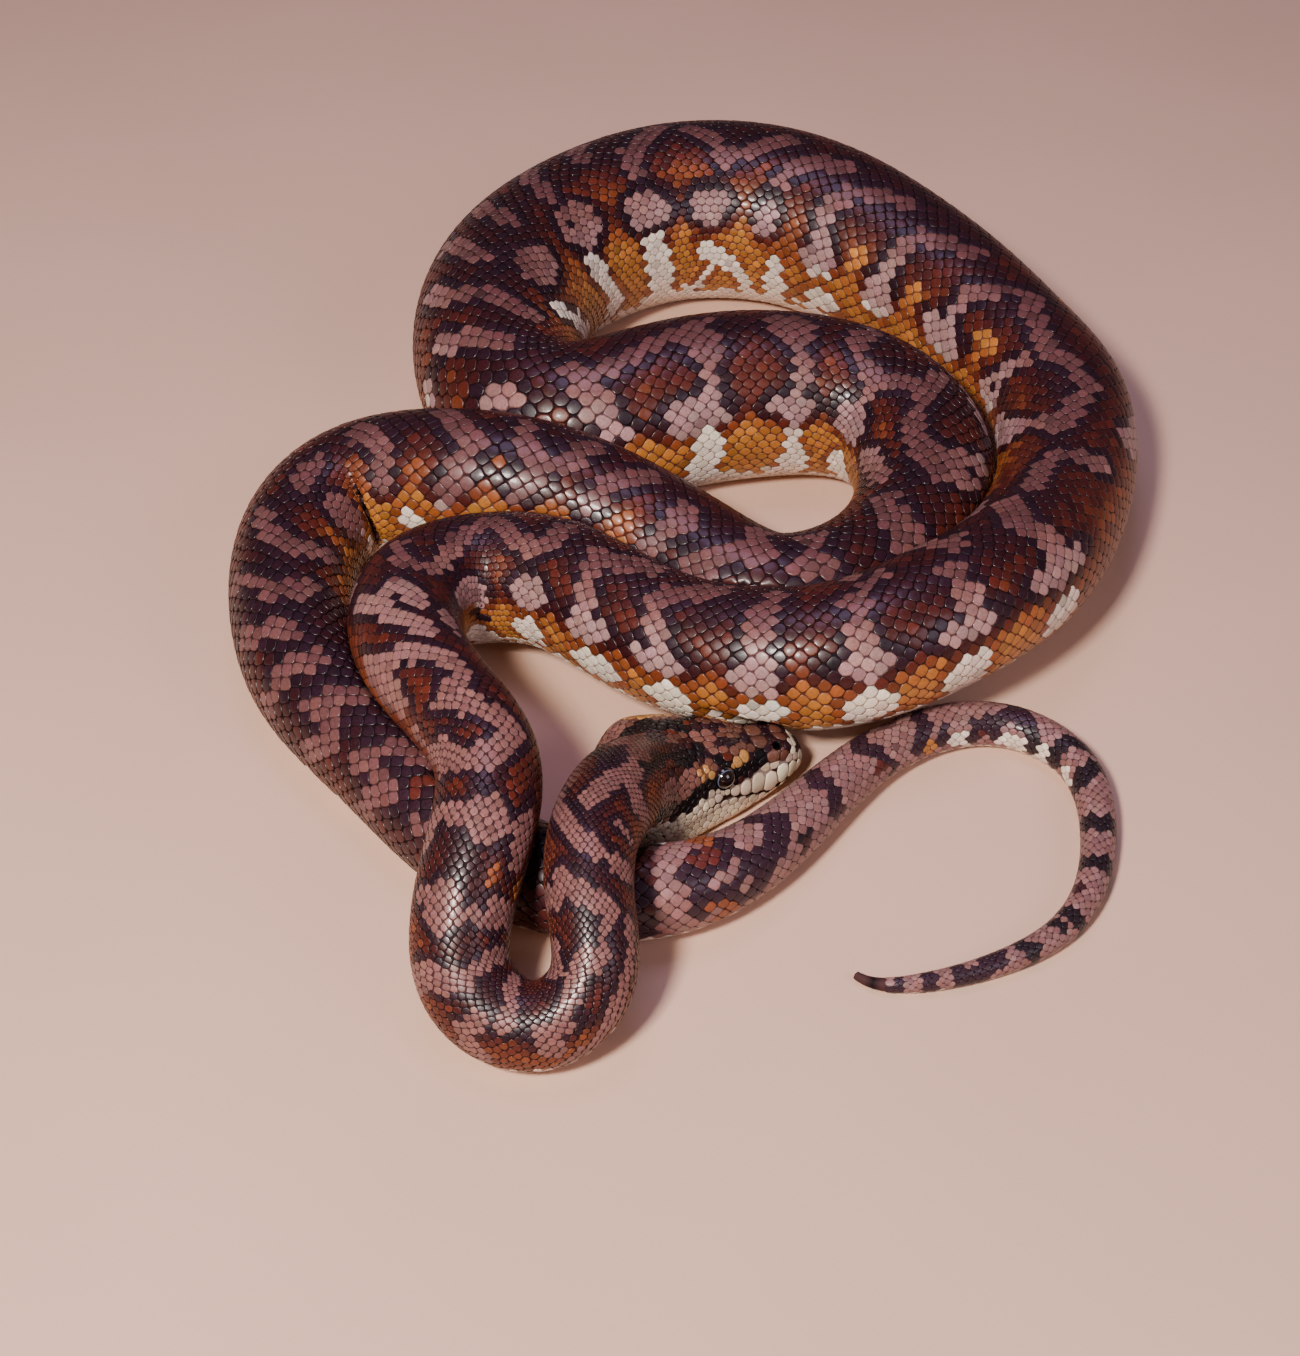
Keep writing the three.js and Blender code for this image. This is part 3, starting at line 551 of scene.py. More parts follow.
# The same for the neck, the trunk and the tail.
BODY_MARKS = """
pale 3.3: 78,-18 88,-27 95,-33 100,-55 98,-80 99,-95
pale 3.8: 88,-26 98,-12 106,4
purple 9x18: 87,5
pale 9x19: 70,-81
pale 3: 100,60 107,52 112,32 117,10 120,-14
pale 3.2: 128,80 129,50 125,38 130,15 134,-22
pale 2.2: 134,-18 138,-11
pale 3.5: 142,72 148,55 155,32
rust 2: 106,-36 109,-52
rust 1.6: 115,-38 117,-60
pale 1.4: 111,-34 113,-66
pale 3.2: 122,-36 124,-66
pale 5x18: 146,10
pale 5x14: 145,-10
pale 2.6: 150,10 154,-5 158,-20 163,-38
pale 6x14: 166,-50
pale 3: 168,-60 168,-78
pale 2.6: 138,-52 150,-60 160,-95 168,-115
pale 3.4: 184,26 182,10
pale 2.6: 181,5 178,-20
pale 3.2: 178,-24 179,-40
pale 2.8: 185,-45 187,-70 182,-100
pale 3.9: 202,52 199,28
pale 2.8: 198,20 197,-5
pale 4.2: 196,-22 199,-42
pale 3: 201,-55 201,-95
pale 2.4: 213,84 217,70 216,60 213,40 215,20 213,0 217,-22 219,-50
pale 5x14: 216,50
pale 4: 214,86 218,70
pale 7x24: 216,-15
gold 4x14: 226,78
ochre 4x20: 226,50
pale 9.5x17: 238,67
pale 1.8: 239,50 239,38
pale 6.5x24: 239,15
pale 3: 239,-8 240,-35
pale 7x14: 236,-55
pale 4.2: 264,36 260,20 256,0 256,-30
pale 9x18: 262,-55
pale 4: 268,-70 272,-90
pale 3.6: 266,30 271,5 277,-10
pale 8x17: 279,-14
pale 2.6: 281,-30 281,-38
pale 3.6: 282,-8 288,8 296,2 302,-15 307,-32 309,-48
pale 14x21: 306,-73
pale 6x10: 282,-82
pale 7.5x9: 317,42
pale 3.8: 312,8 319,-10 330,-25 338,-45
pale 3.6: 326,12 334,8 338,-6 333,-22
purple 2.2: 328,-8
gold 6x12: 282,-66
rust 4x16: 265,-16
rust 5x16: 291,-38
rust 5x12: 250,38
rust 4x12: 247,-25
pale 25x16: 366,69
purple 20x5: 375,92
cream 16x14: 379,114
pale 3: 350,5 350,25 358,33 368,25 378,12 390,0 398,-8
pale 2.6: 352,-3 362,-20
pale 2.8: 403,5 410,18 418,25 422,5 420,-12
pale 9x14: 420,62
cream 9x15: 422,100
cream 8x15: 452,98
cream 6x20: 475,100
cream 7x14: 499,98
cream 6x22: 524,100
cream 8x20: 552,98
cream 8x17: 590,92
pale 7x12: 447,64
pale 2.4: 445,50 442,35 437,10
pale 4.4: 438,4 448,-8 454,-18
pale 8x12: 471,66
pale 2.4: 470,52 467,34 463,15
pale 3.4: 466,8 474,0 482,-16
pale 6x14: 498,68
pale 3: 498,54 498,38 498,12 503,-14
pale 7.5x12: 525,60
pale 2.6: 524,46 525,30
pale 5x12: 526,8
pale 2.4: 532,-8 539,-18
pale 9.5x10: 554,58
pale 3: 555,46 557,30
pale 5x11: 557,12
pale 2.8: 564,-8 570,-22
pale 12.5x12: 591,54
pale 4.2: 592,34 592,14
pale 5: 590,2 602,-18
pale 5.5x12: 645,30
pale 2.6: 643,18 642,0
pale 3: 615,-15 628,-14 640,-8
pale 3: 658,-12 675,0 688,12 698,0 707,-15 716,-15 724,-8 735,-5 740,10 747,-2 752,-15
pale 5x8: 757,-28
pale 3: 665,-20 667,-45 675,-62 690,-78
pale 5: 669,-56 684,-78
pale 3: 710,-35 712,-52
pale 11x15: 712,-73
purple 2.4: 712,-68
pale 12x14: 756,-70
pale 3.2: 757,-34 757,-56
pale 3.2: 775,0 783,-10 795,-20 800,-35 797,-52
pale 9x17: 797,-76
pale 3.2: 813,-5 825,-12 833,-22 838,-44 834,-60
pale 8.5x12: 832,-75
pale 3.2: 843,-5 856,-15
gold 9x13: 735,-52
gold 6x12: 779,-62
gold 6x12: 815,-62
ochre 7x12: 850,-80
cream 9x9: 828,-105
cream 6.5x20: 855,-106
pale 3.2: 858,-20 864,-36
pale 6.5x13: 865,-62
pale 3.2: 868,0 880,-15 893,-28 900,-8 908,5
pale 13x12: 903,-58
cream 3: 912,-84 896,-90 883,-100 875,-116
cream 2.6: 898,-92 905,-104 912,-116
gold 3x5: 893,-108
gold 3x6: 918,-100
pale 3.6: 919,13 928,0 936,-8 940,-24
pale 13x12: 943,-51
cream 7.5: 945,-78 942,-96 938,-118
pale 14.5x16: 987,-38
purple 2: 984,-42
purple 1.8: 993,-34
cream 4.6: 997,-64 987,-84 978,-104
cream 9x10: 978,-106
pale 12.5x15: 1030,-28
cream 3.6: 1053,-48 1043,-70 1031,-90 1020,-104
cream 7x12: 1040,-80
pale 3: 948,26 955,5
pale 3: 968,34 977,12 984,-8
pale 3: 994,38 1003,15 1008,0
pale 3.2: 1015,45 1025,25 1030,10
pale 3.2: 1040,50 1048,30 1054,0 1066,-20
pale 3.2: 1065,45 1072,25 1080,8
pale 4x9: 1070,76
pale 4x9: 1090,45
gold 10x20: 921,-85
gold 10x14: 965,-86
gold 12x14: 1012,-78
pale 3.2: 1113,60 1110,40 1105,12
pale 2.6: 1115,18 1135,5 1155,-6
pale 13x13: 1142,64
cream 6: 1146,84 1143,100 1142,118
pale 7.5x13: 1151,16
pale 3: 1149,56 1150,36
cream 8x16: 1188,112
pale 3: 1187,92 1186,76
pale 10x8: 1185,65
pale 2.8: 1187,56 1189,38 1187,24
pale 8.5x20: 1185,3
gold 7x12: 1125,85
gold 7x27: 1168,95
gold 6x23: 1205,100
rust 6x10: 1130,45
rust 8x12: 1165,48
rust 6x10: 1204,45
cream 15x16: 1227,108
pale 18x15: 1230,62
pale 2.8: 1229,52 1229,38
pale 3: 1208,5 1213,20 1226,28 1234,18 1240,0 1237,-25
pale 2.8: 1209,0 1211,-20
pale 3: 1246,0 1255,10 1263,15 1272,8 1276,-15 1270,-52
pale 2.8: 1279,8 1286,-12 1280,-45
pale 3.6: 1262,62 1277,48 1291,36
pale 7x10: 1307,12
pale 7x10: 1312,-8
pale 7x10: 1317,-28
pale 7x9: 1343,8
pale 6.5x16: 1346,-20
pale 4.4: 1366,15 1362,-4
pale 4.6: 1362,-4 1371,-24 1378,-46
pale 7.5x18: 1393,-14
pale 3.6: 1394,-26 1397,-54
pale 3.1: 1415,8 1419,-8 1425,-28 1427,-48
pale 3.1: 1436,10 1440,-12 1450,-38 1453,-56
pale 2.8: 1457,8 1455,-15 1452,-30
pale 3.1: 1483,20 1477,-5 1469,-15 1470,-40 1475,-75
pale 6.5x13: 1508,-5
pale 3.1: 1504,-18 1498,-28 1498,-60
ochre 4x9: 1388,-44
ochre 4x9: 1410,-42
rust 5x10: 1438,-42
ochre 4x9: 1463,-42
gold 5x9: 1484,-72
cream 6x10: 1490,-96
gold 14x26: 1521,-84
pale 11x12: 1539,-2
pale 9.5x28: 1549,-52
cream 5x8: 1540,-98
pale 3: 1558,28 1568,18 1577,0 1580,-25 1577,-42
pale 3: 1584,60 1588,35 1597,15 1600,-10 1598,-25
pale 3: 1606,62 1610,40 1617,12
pale 3.2: 1630,75 1629,40 1632,5
ochre 4x9: 1565,-42
rust 4x8: 1592,-25
pale 2.7: 1650,88 1654,70 1659,55 1655,38 1644,38
pale 2.7: 1646,20 1654,0
pale 2.7: 1681,88 1684,65 1690,48 1682,38 1673,45 1674,28
pale 2.7: 1676,14 1688,-2
pale 4x8: 1703,50
rust 3.4: 1695,18
pale 3.4: 1730,88 1727,52 1731,18 1727,-20
pale 2.6: 1748,60 1752,20 1748,-12
rust 2.5: 1767,25 1766,-10
purple 2.5: 1766,110 1767,75
purple 2.2: 1765,66 1766,34
purple 2.4: 1779,82 1779,56
purple 2.6: 1787,88 1789,68 1784,62
ochre 4x7: 1783,76
ochre 5x18: 1787,106
purple 2.6: 1777,34 1784,30 1790,24 1793,10 1792,-8
purple 2.2: 1777,20 1781,6
rust 5x15: 1785,12
ochre 5x26: 1787,-32
purple 3.4: 1795,90 1798,70 1801,56
purple 3.2: 1795,46 1800,41
purple 3.2: 1804,54 1807,40 1807,28 1812,20 1813,4 1810,-12 1808,-26 1806,-60 1806,-150
black 4.5x12: 1818,62
umber 4x8: 1817,77
umber 5x9: 1835,74
purple 2.6: 1834,62 1836,44 1838,30 1836,14 1834,-4 1838,-26 1840,-60 1840,-150
rust 4x11: 1861,62
purple 2: 1867,88 1866,70
purple 2.3: 1863,44 1864,30 1859,12 1858,-5 1864,-30 1868,-60 1868,-150
cream 6x26: 1898,88
cream 7x28: 1919,90
cream 4.5x26: 1933,86
cream 4x24: 1947,84
pale 4x22: 1962,80
gold 4x22: 1883,80
ochre 3x10: 1883,52
purple 2.6: 1879,68 1881,45 1884,20 1884,-10 1887,-40 1888,-150
purple 2: 1889,70 1891,42
gold 3x14: 1905,84
purple 2.2: 1901,96 1902,68
purple 2.4: 1903,58 1908,50 1908,36
purple 2.2: 1911,84 1912,52
purple 2: 1912,40 1914,24
purple 3.4: 1923,32 1919,8 1917,-10 1918,-60 1918,-150
black 2: 1927,100 1927,60 1924,36
black 2.8: 1938,88 1938,60 1937,25 1939,-15 1942,-60 1942,-150
umber 2: 1954,110 1954,66
black 3: 1955,56 1953,30 1951,5 1950,-30 1952,-150
umber 2.5: 1971,110 1971,60
black 3: 1972,55 1972,30 1973,-5 1972,-35 1972,-150
black 2.6: 1988,110 1989,60 1990,40 1989,10 1988,-30 1988,-150
umber 2.2: 2000,110 2000,50 2001,30
black 2.2: 2013,110 2012,30 2012,-10 2010,-150
black 1.8: 2018,30 2017,-20
black 2.2: 2031,110 2031,10 2029,-30 2029,-150
purple 3.4: 2041,60 2040,0 2044,-35 2047,-70 2047,-150
purple 1.6: 2053,60 2052,-30 2052,-150
purple 2.2: 2061,70 2061,-20 2061,-150
purple 1.4: 2070,90 2071,-150
purple 1.8: 2077,90 2077,-150
cream 4x10: 1771,-38
"""


@dataclass(frozen=True)
class Mark:
    """A stroke of half-width half, or patches of half-length half and half-turn turn degrees."""

    tone: Tone
    half: float
    turn: float
    places: Array

    @staticmethod
    def read(text: str) -> "Mark":
        """A mark from its line, such as 'pale 3.0: 78,-18 88,-27' or 'rust 4x9: 1388,-44'."""
        name, size, rest = text.replace(":", "").split(" ", 2)
        half, _, turn = size.partition("x")
        places = np.array([[float(v) for v in pair.split(",")] for pair in rest.split()])
        return Mark(Tone[name.upper()], float(half), float(turn or 0), places)

    def moved(self, along: float, flip: bool) -> "Mark":
        """The same mark further along, or on the other flank."""
        places = self.places * np.array([1.0, -1.0 if flip else 1.0]) + np.array([along, 0.0])
        return Mark(self.tone, self.half, self.turn, places)

    def distance(self, s: Array, degrees: Array, size: Array) -> Array:
        """Signed distance in millimetres from the mark's edge.

        A patch's is (root((ds / half)^2 + (da / turn)^2) - 1) times its smaller half-width. A
        stroke's is the distance to the nearest part of its line, less its half-width.
        """
        per = np.radians(1.0) * size  # millimetres round the body for a degree of turn
        best = np.full(s.shape, np.inf)
        if self.turn:
            for s0, a0 in self.places:
                far = np.hypot((s - s0) / self.half, (degrees - a0) / self.turn) - 1
                best = np.minimum(best, far * np.minimum(self.half, self.turn * per))
            return best
        ends = self.places if len(self.places) > 1 else np.repeat(self.places, 2, 0)
        for (s0, a0), (s1, a1) in zip(ends[:-1], ends[1:]):
            across, over = (a1 - a0) * per, (degrees - a0) * per
            length = (s1 - s0) ** 2 + across**2 + 1e-9
            t = np.clip(((s - s0) * (s1 - s0) + over * across) / length, 0, 1)
            best = np.minimum(best, np.hypot(s - s0 - t * (s1 - s0), over - t * across))
        return best - self.half

    def around(self, s: Array, margin: float) -> Array:
        """Indices of the places that lie beside the mark, or within a margin along the animal."""
        low, high = self.places[:, 0].min() - self.half, self.places[:, 0].max() + self.half
        return np.flatnonzero((s > low - margin) & (s < high + margin))


@dataclass(frozen=True)
class Flank:
    """A stretch whose hidden flank carries the seen one's marks, shifted a little.

    seen is the side that shows, 1 for the left one, and marks of it that lie further from the back
    than beyond degrees are carried over. golden says that the seen flank's ground is golden and not
    dull, and rich how many steps of the ladder it is brighter. A flank turned from the light keeps
    the darker dull ground, which is painted shade.
    """

    start: float
    end: float
    seen: int
    beyond: float
    golden: bool = True
    rich: float = 0.0


# The seen flanks are golden. The hidden ones, and the seen outer flank of the left coil from 1600 to
# 1770, keep the dull ground, which is painted shade on the sides turned from the light.
HIDDEN_FLANKS = (
    Flank(340, 600, 1, 22), Flank(600, 860, -1, 40), Flank(860, 1100, -1, 84, True, 0.7),
    Flank(1100, 1300, 1, 50, True, 0.3), Flank(1380, 1600, -1, 62, True, 0.5),
    Flank(1600, 1770, 1, 30, False),
)


class Markings:
    """The pattern: pale blotches, each ringed with purple-brown, on a ground that is rust on the
    back, golden on the flank and cream by the belly."""

    TAIL_FROM = 1769.0  # behind this the ground is tan, and the marks are dark bands
    SHIFT = (5.0, 2.0)  # how far along a hidden flank's marks lie, and how that varies
    HEAD_SHIFT = 0.6  # the same for marks of the cheeks
    CHEEK_FROM = -17.0  # marks of the head past this turn are carried over
    MARGIN = 14.0  # marks this far off along the animal have no say
    HEAD_MARGIN = 1.0
    FRAY = 5.0  # degrees by which the ground's edges are frayed,
    BELLY_FRAY = 9.0  # and the belly's
    BELLY_FROM = 122.0  # the ground is cream past this turn
    DULLER = (0.9, 1540, 60)  # dull ground is so many steps darker behind this, deepening the painted shade on the left coil
    # How much further than their strokes the pale marks reach, at a distance s.
    SPREAD = ((0, 150, 180, 330, 420, 1600, 1700, 2085), (-0.3, -0.3, 0, 0, 0.9, 0.9, 0.7, 0))
    BLOTCH = -0.8  # patches on the trunk spread less than strokes, by this share
    # Steps from pale towards tan and rose, at a distance s, and at turns from the trunk's back.
    TAN = ((0, 280, 420, 1250, 1310, 1700, 1769), (1.05, 1.05, 0.1, 0.1, 1.6, 1.6, 0.9))
    BACK_TAN = ((12, 60), (1.85, 0))
    # Steps of marks that are browner on the head than elsewhere.
    ON_HEAD = {Tone.PALE: Tone.TAN.step, Tone.ROSE: Tone.ROSE.step + 0.1}
    BACK = (0, 24, 45, 65, 85)  # turns from the back, and the ground's tones there
    GOLDEN = (1.4, 2.3, 3.0, 3.9, 5.0)
    DULL = (1.7, 2.2, 2.7, 3.1, 3.3)
    RING = (0.45, 1.5, 2.8)  # the dark ring's share of a scale's length, and its limits
    RING_CORE = 0.8  # this share of it is fully dark, and then it brightens
    RING_RISE = 2.0  # by so many steps of the ladder in its own width
    RING_FADE = (3, 55, 35)  # it is so many steps brighter past these turns
    TRUNK = (340, 1560)  # pale marks are whiter by the belly here,
    PALE_BELLY = (80, 12)  # past these turns
    BACK_BROWN = (340, 1760)  # and browner on the back here
    CROWN_TO = 62.0  # the head's own dark ground ends here
    CROWN_ROUGH = 1.3  # and varies by so many steps
    HEAD_SLIM = 0.92  # the head is this share as wide as the round girth
    THROAT_TO = 150.0  # behind this the belly's own rule holds

    def __init__(self, seed: int) -> None:
        """Reads the marks, and adds those of the head's far side and the hidden flanks."""
        rng = np.random.default_rng(seed)
        self.head = [Mark.read(line) for line in HEAD_MARKS.strip().splitlines()]
        self.head += [
            mark.moved(rng.uniform(-self.HEAD_SHIFT, self.HEAD_SHIFT), True)
            for mark in self.head
            if mark.places[:, 1].max() < self.CHEEK_FROM
        ]
        seen = [Mark.read(line) for line in BODY_MARKS.strip().splitlines()]
        shift, varies = self.SHIFT
        self.body = seen + [
            mark.moved(shift + rng.uniform(-varies, varies), True)
            for mark in seen
            for flank in HIDDEN_FLANKS
            if flank.start <= mark.places[0, 0] < flank.end
            and (mark.places[:, 1] * flank.seen).min() > flank.beyond
        ]

    def _ground(self, s: Array, degrees: Array, rough: Array) -> Array:
        """The ground's tone: dark on the back, richer down the flank, and cream by the belly, with
        painted shade on flanks turned from the light.
        """
        turn = np.abs(degrees)
        golden = np.zeros(s.shape, bool)
        more = np.zeros(s.shape)
        for flank in HIDDEN_FLANKS:
            here = (s >= flank.start) & (s < flank.end) & (degrees * flank.seen > 0)
            golden |= here & flank.golden
            more[here] = flank.rich
        # An uneven slow wave along the animal, about a hand's breadth long.
        wave = 0.25 * np.sin(s / 11 + 2 * np.sin(s / 29)) + 0.3 * rough
        frayed = turn + self.FRAY * rough
        darker, *where = self.DULLER
        rich = np.interp(frayed, self.BACK, self.GOLDEN) + more * ramp(turn, 0, 40)
        dull = np.interp(frayed, self.BACK, self.DULL) - darker * ramp(s, *where)
        # Golden on the seen flanks; the dull ground left on flanks turned from the light is painted
        # shade.
        ground = np.clip(np.where(golden, rich, dull) + wave, Tone.PURPLE.step, Tone.GOLD.step)
        ground = np.where(s > self.TAIL_FROM, Tone.TAN.step - 0.25 + 0.2 * rough, ground)
        return np.where(turn + self.BELLY_FRAY * rough > self.BELLY_FROM, Tone.CREAM.step, ground)

    def tones(self, s: Array, theta: Array, pitch: Array, rough: Array) -> Array:
        """Step of the tone's ladder at each place.

        Args:
            s: distance along the spine.
            theta: turn about the spine.
            pitch: length of the scales there, which sets the width of the dark rings.
            rough: a random number from -1 to 1 for each place, which frays the ground's edges.

        Returns:
            Places on the ladder of tones.
        """
        degrees = np.degrees(wrapped(theta))
        size = girth(s)
        tone = self._ground(s, degrees, rough)
        near = np.full(s.shape, np.inf)
        layers = []
        for mark in self.body:
            close = mark.around(s, self.MARGIN)
            if len(close) == 0:
                continue
            far = mark.distance(s[close], degrees[close], size[close])
            if mark.tone in (Tone.PALE, Tone.CREAM):
                spread = np.interp(s[close], *self.SPREAD)
                far = far - spread * (1 + self.BLOTCH * (mark.turn > 0) * (spread > 0))
                near[close] = np.minimum(near[close], far)
            layers.append((mark, close[far < 0]))
        for mark, inside in layers:
            tone[inside] = mark.tone.step
        dark = tone <= Tone.GOLD.step
        limit = self._ring_limit(near, pitch, degrees, rough)
        tone[dark] = np.clip(np.minimum(tone, limit), 0, Tone.GOLD.step)[dark]
        pale = tone == Tone.PALE.step
        tone[pale] = self._pale_tones(s, degrees, rough)[pale]
        return self._head_tones(s, degrees, size, rough, tone)

    def _ring_limit(self, near: Array, pitch: Array, degrees: Array, rough: Array) -> Array:
        """The brightest that the ground may be at each distance from a pale mark."""
        share, low, high = self.RING
        ring = np.clip(share * pitch, low, high) * (1 + 0.2 * rough)
        limit = Tone.PURPLE.step + self.RING_RISE * np.maximum(near / ring - self.RING_CORE, 0)
        steps, *where = self.RING_FADE
        return limit + steps * ramp(np.abs(degrees), *where) + 0.15 * rough

    def _pale_tones(self, s: Array, degrees: Array, rough: Array) -> Array:
        """Tones of pale marks: towards cream by the belly, and towards tan on the back."""
        turn = np.abs(degrees)
        start, length = self.PALE_BELLY
        belly = np.clip((turn + self.FRAY * rough - start) / length, 0, 1)
        belly = belly * ((s > self.TRUNK[0]) & (s < self.TRUNK[1]))
        on_back = (s > self.BACK_BROWN[0]) & (s < self.BACK_BROWN[1])
        brown = np.maximum(np.interp(turn, *self.BACK_TAN) * on_back, np.interp(s, *self.TAN))
        return np.where(belly > 0, Tone.PALE.step - belly, Tone.PALE.step + brown)

    def _head_tones(
        self,
        s: Array,
        degrees: Array,
        size: Array,
        rough: Array,
        tone: Array,
    ) -> Array:
        """The head's own pattern over the body's: dark crown, streaked cheeks, cream lips."""
        head = s < self.CROWN_TO
        tone[head] = (Tone.PURPLE.step + self.CROWN_ROUGH * np.clip(rough, 0, 1))[head]
        for mark in self.head:
            close = mark.around(s, self.HEAD_MARGIN)
            far = mark.distance(s[close], degrees[close], size[close] * self.HEAD_SLIM)
            tone[close[far < 0]] = self.ON_HEAD.get(mark.tone, mark.tone.step)
        past = np.abs(degrees) - through(CREAM_EDGE, s)
        throat = (past > 0) & (s < self.THROAT_TO)
        # The cream is rosier by its edge on the snout, and a little more golden behind it.
        tinge = 0.6 * smooth(1 - past / 40) * (s < 40) + 0.1 * np.abs(rough)
        tone[throat] = (Tone.CREAM.step + tinge - 0.14 * ramp(s, 20, 25))[throat]
        return tone


def linear(colour: str) -> Array:
    """Linear red, green and blue of an sRGB colour written as #rrggbb."""
    part = np.array([int(colour[i : i + 2], 16) / 255 for i in (1, 3, 5)])
    return np.where(part <= 0.04045, part / 12.92, ((part + 0.055) / 1.055) ** 2.4)


# ---------- where the scales grow
class Kind(Enum):
    """What a seed of the coat grows into; a bare one only keeps its room free."""

    BODY = 0
    HEAD = 1
    LIP = 2
    JAW = 3
    BARE = 4


@dataclass
class Seeds:
    """The roots of the scales: place, room and kind of each."""

    s: Array
    theta: Array
    room: Array
    kind: Array

    @staticmethod
    def joined(*groups: "Seeds") -> "Seeds":
        """All the groups as one, group by group."""
        return Seeds(*[np.concatenate([getattr(g, n) for g in groups]) for n in SEED_FIELDS])

    def taken(self, chosen: Array) -> "Seeds":
        """Only the chosen ones, in the order of the choice."""
        return Seeds(*[getattr(self, n)[chosen] for n in SEED_FIELDS])

    def in_order(self) -> "Seeds":
        """The same seeds in order along the animal."""
        return self.taken(np.argsort(self.s, kind="stable"))


SEED_FIELDS = ("s", "theta", "room", "kind")

# Length of the scales along the body, and spacing of their rows, at a distance s.
SCALE_PITCH = np.array([
    [60, 2.3], [120, 2.4], [180, 2.9], [240, 3.4], [290, 4.5], [350, 5.0], [560, 5.1], [750, 6.2],
    [900, 5.8], [1160, 5.8], [1400, 5.4], [1640, 5.6], [1700, 5.0], [1760, 4.1], [1850, 3.8],
    [1900, 3.6], [2000, 3.2], [2085, 2.4],
])
ROW_SPACING = np.array([
    [60, 1.1], [120, 1.12], [180, 1.35], [240, 1.6], [290, 2.0], [350, 2.3], [560, 2.45],
    [750, 3.0], [900, 2.85], [1160, 2.9], [1400, 3.0], [1640, 3.0], [1700, 2.8], [1760, 2.4],
    [1850, 2.1], [1900, 1.9], [2000, 1.5], [2085, 0.9],
])


def pitch_at(s: Array) -> Array:
    """Length of the body's scales at each s."""
    return np.interp(s, SCALE_PITCH[:, 0], SCALE_PITCH[:, 1])


def row_at(s: Array) -> Array:
    """Spacing of the body's rows at each s."""
    return np.interp(s, ROW_SPACING[:, 0], ROW_SPACING[:, 1])


def head_end(theta: Array) -> Array:
    """How far back the head's own scales reach: to the nape, and further on the cheeks."""
    turn = np.degrees(np.abs(wrapped(theta)))
    return 61 + 19 * ramp(turn, 42, 20) - 14 * ramp(turn, 116, 16)


@dataclass(frozen=True)
class RowLayout:
    """Long rows of scales in quincunx, counted from the back, that run out by the belly."""

    start: float = 61.0
    end: float = 2076.0
    rows: int = 70  # on each side of the back, more than there is ever room for
    step: float = 0.5  # of s, where the scales of a row are counted
    jitter: float = 0.07  # how unevenly the roots lie, as a share of their spacing
    room: float = 0.6  # of a scale, as a share of the rows' spacing
    belly_room: float = 0.4  # kept free by the belly plates, as the same share

    def seeds(self, rng: np.random.Generator) -> Seeds:
        """The rows' seeds: row j lies j spacings from the back, and odd rows lie half a scale on."""
        fine = np.arange(self.start, self.end, self.step)
        count = np.concatenate([[0.0], np.cumsum(self.step / pitch_at(fine))])[:-1]
        places, turns = [], []
        for row in range(-self.rows, self.rows + 1):
            whole = np.arange(int(count[-1])) + 0.5 * (row % 2)
            s = np.interp(whole, count, fine)
            turn = row * row_at(s) / girth(s)
            kept = np.abs(turn) < VENTRAL_FROM - self.belly_room * row_at(s) / girth(s)
            kept &= s > head_end(turn)
            places.append(s[kept])
            turns.append(turn[kept])
        s, theta = np.concatenate(places), np.concatenate(turns)
        s = s + rng.normal(0, self.jitter, len(s)) * pitch_at(s)
        theta = theta + rng.normal(0, self.jitter, len(s)) * row_at(s) / girth(s)
        kind = np.full(len(s), Kind.BODY.value)
        return Seeds(s, theta, self.room * row_at(s), kind)


# Larger plates of the head: s,turn in degrees, then the room in millimetres. The other side has
# the same ones.
HEAD_PLATES = """
8.6,-9,2.4 16.4,-13,3.2 12.6,-9,1.2 7.6,-31,1.7 14.6,-27,1.5 13.2,-44,2.3 9.4,-45,1.8
20.6,-25,1.7 22.6,-20,1.4 21.8,-12,1.4 24.2,-36,2.2 27.4,-43,1.9 27.2,-28,1.8 18.6,-37,1.7
17.2,-49,1.4 20.4,-47,1.4 23.2,-51,1.3 26.2,-55,1.2 20.2,-57,1.2 24.2,-60,1.1 30.8,-35,1.5
34.8,-36,1.7 31.2,-25,1.5 33.6,-4,2.3 38.2,-4,2.2 36.0,-15,2.1 40.4,-15,2.2 35.4,-25,1.6
"""
# Upper lip plates from the snout back: s, and the height of the plate above the mouth line.
UPPER_LIPS = """
3.0,5.0 6.2,7.0 9.8,8.2 14.2,8.8 19.2,8.6 24.2,6.4 28.4,4.4 32.2,3.9 36.0,3.9 39.8,4.0
43.4,4.0 46.8,3.8 50.0,3.6 53.0,3.4
"""
# Lower lip plates, with their height below it.
LOWER_LIPS = """
4.6,2.6 8.4,2.9 12.4,3.2 16.6,3.3 20.8,3.4 25.0,3.4 29.0,3.4 32.8,3.4 36.4,3.4 39.8,3.4
43.2,3.2 46.6,3.0 49.8,2.8 52.8,2.6
"""


def numbers(text: str) -> Array:
    """Rows of numbers written as a,b or a,b,c and parted by spaces."""
    return np.array([[float(v) for v in item.split(",")] for item in text.split()])


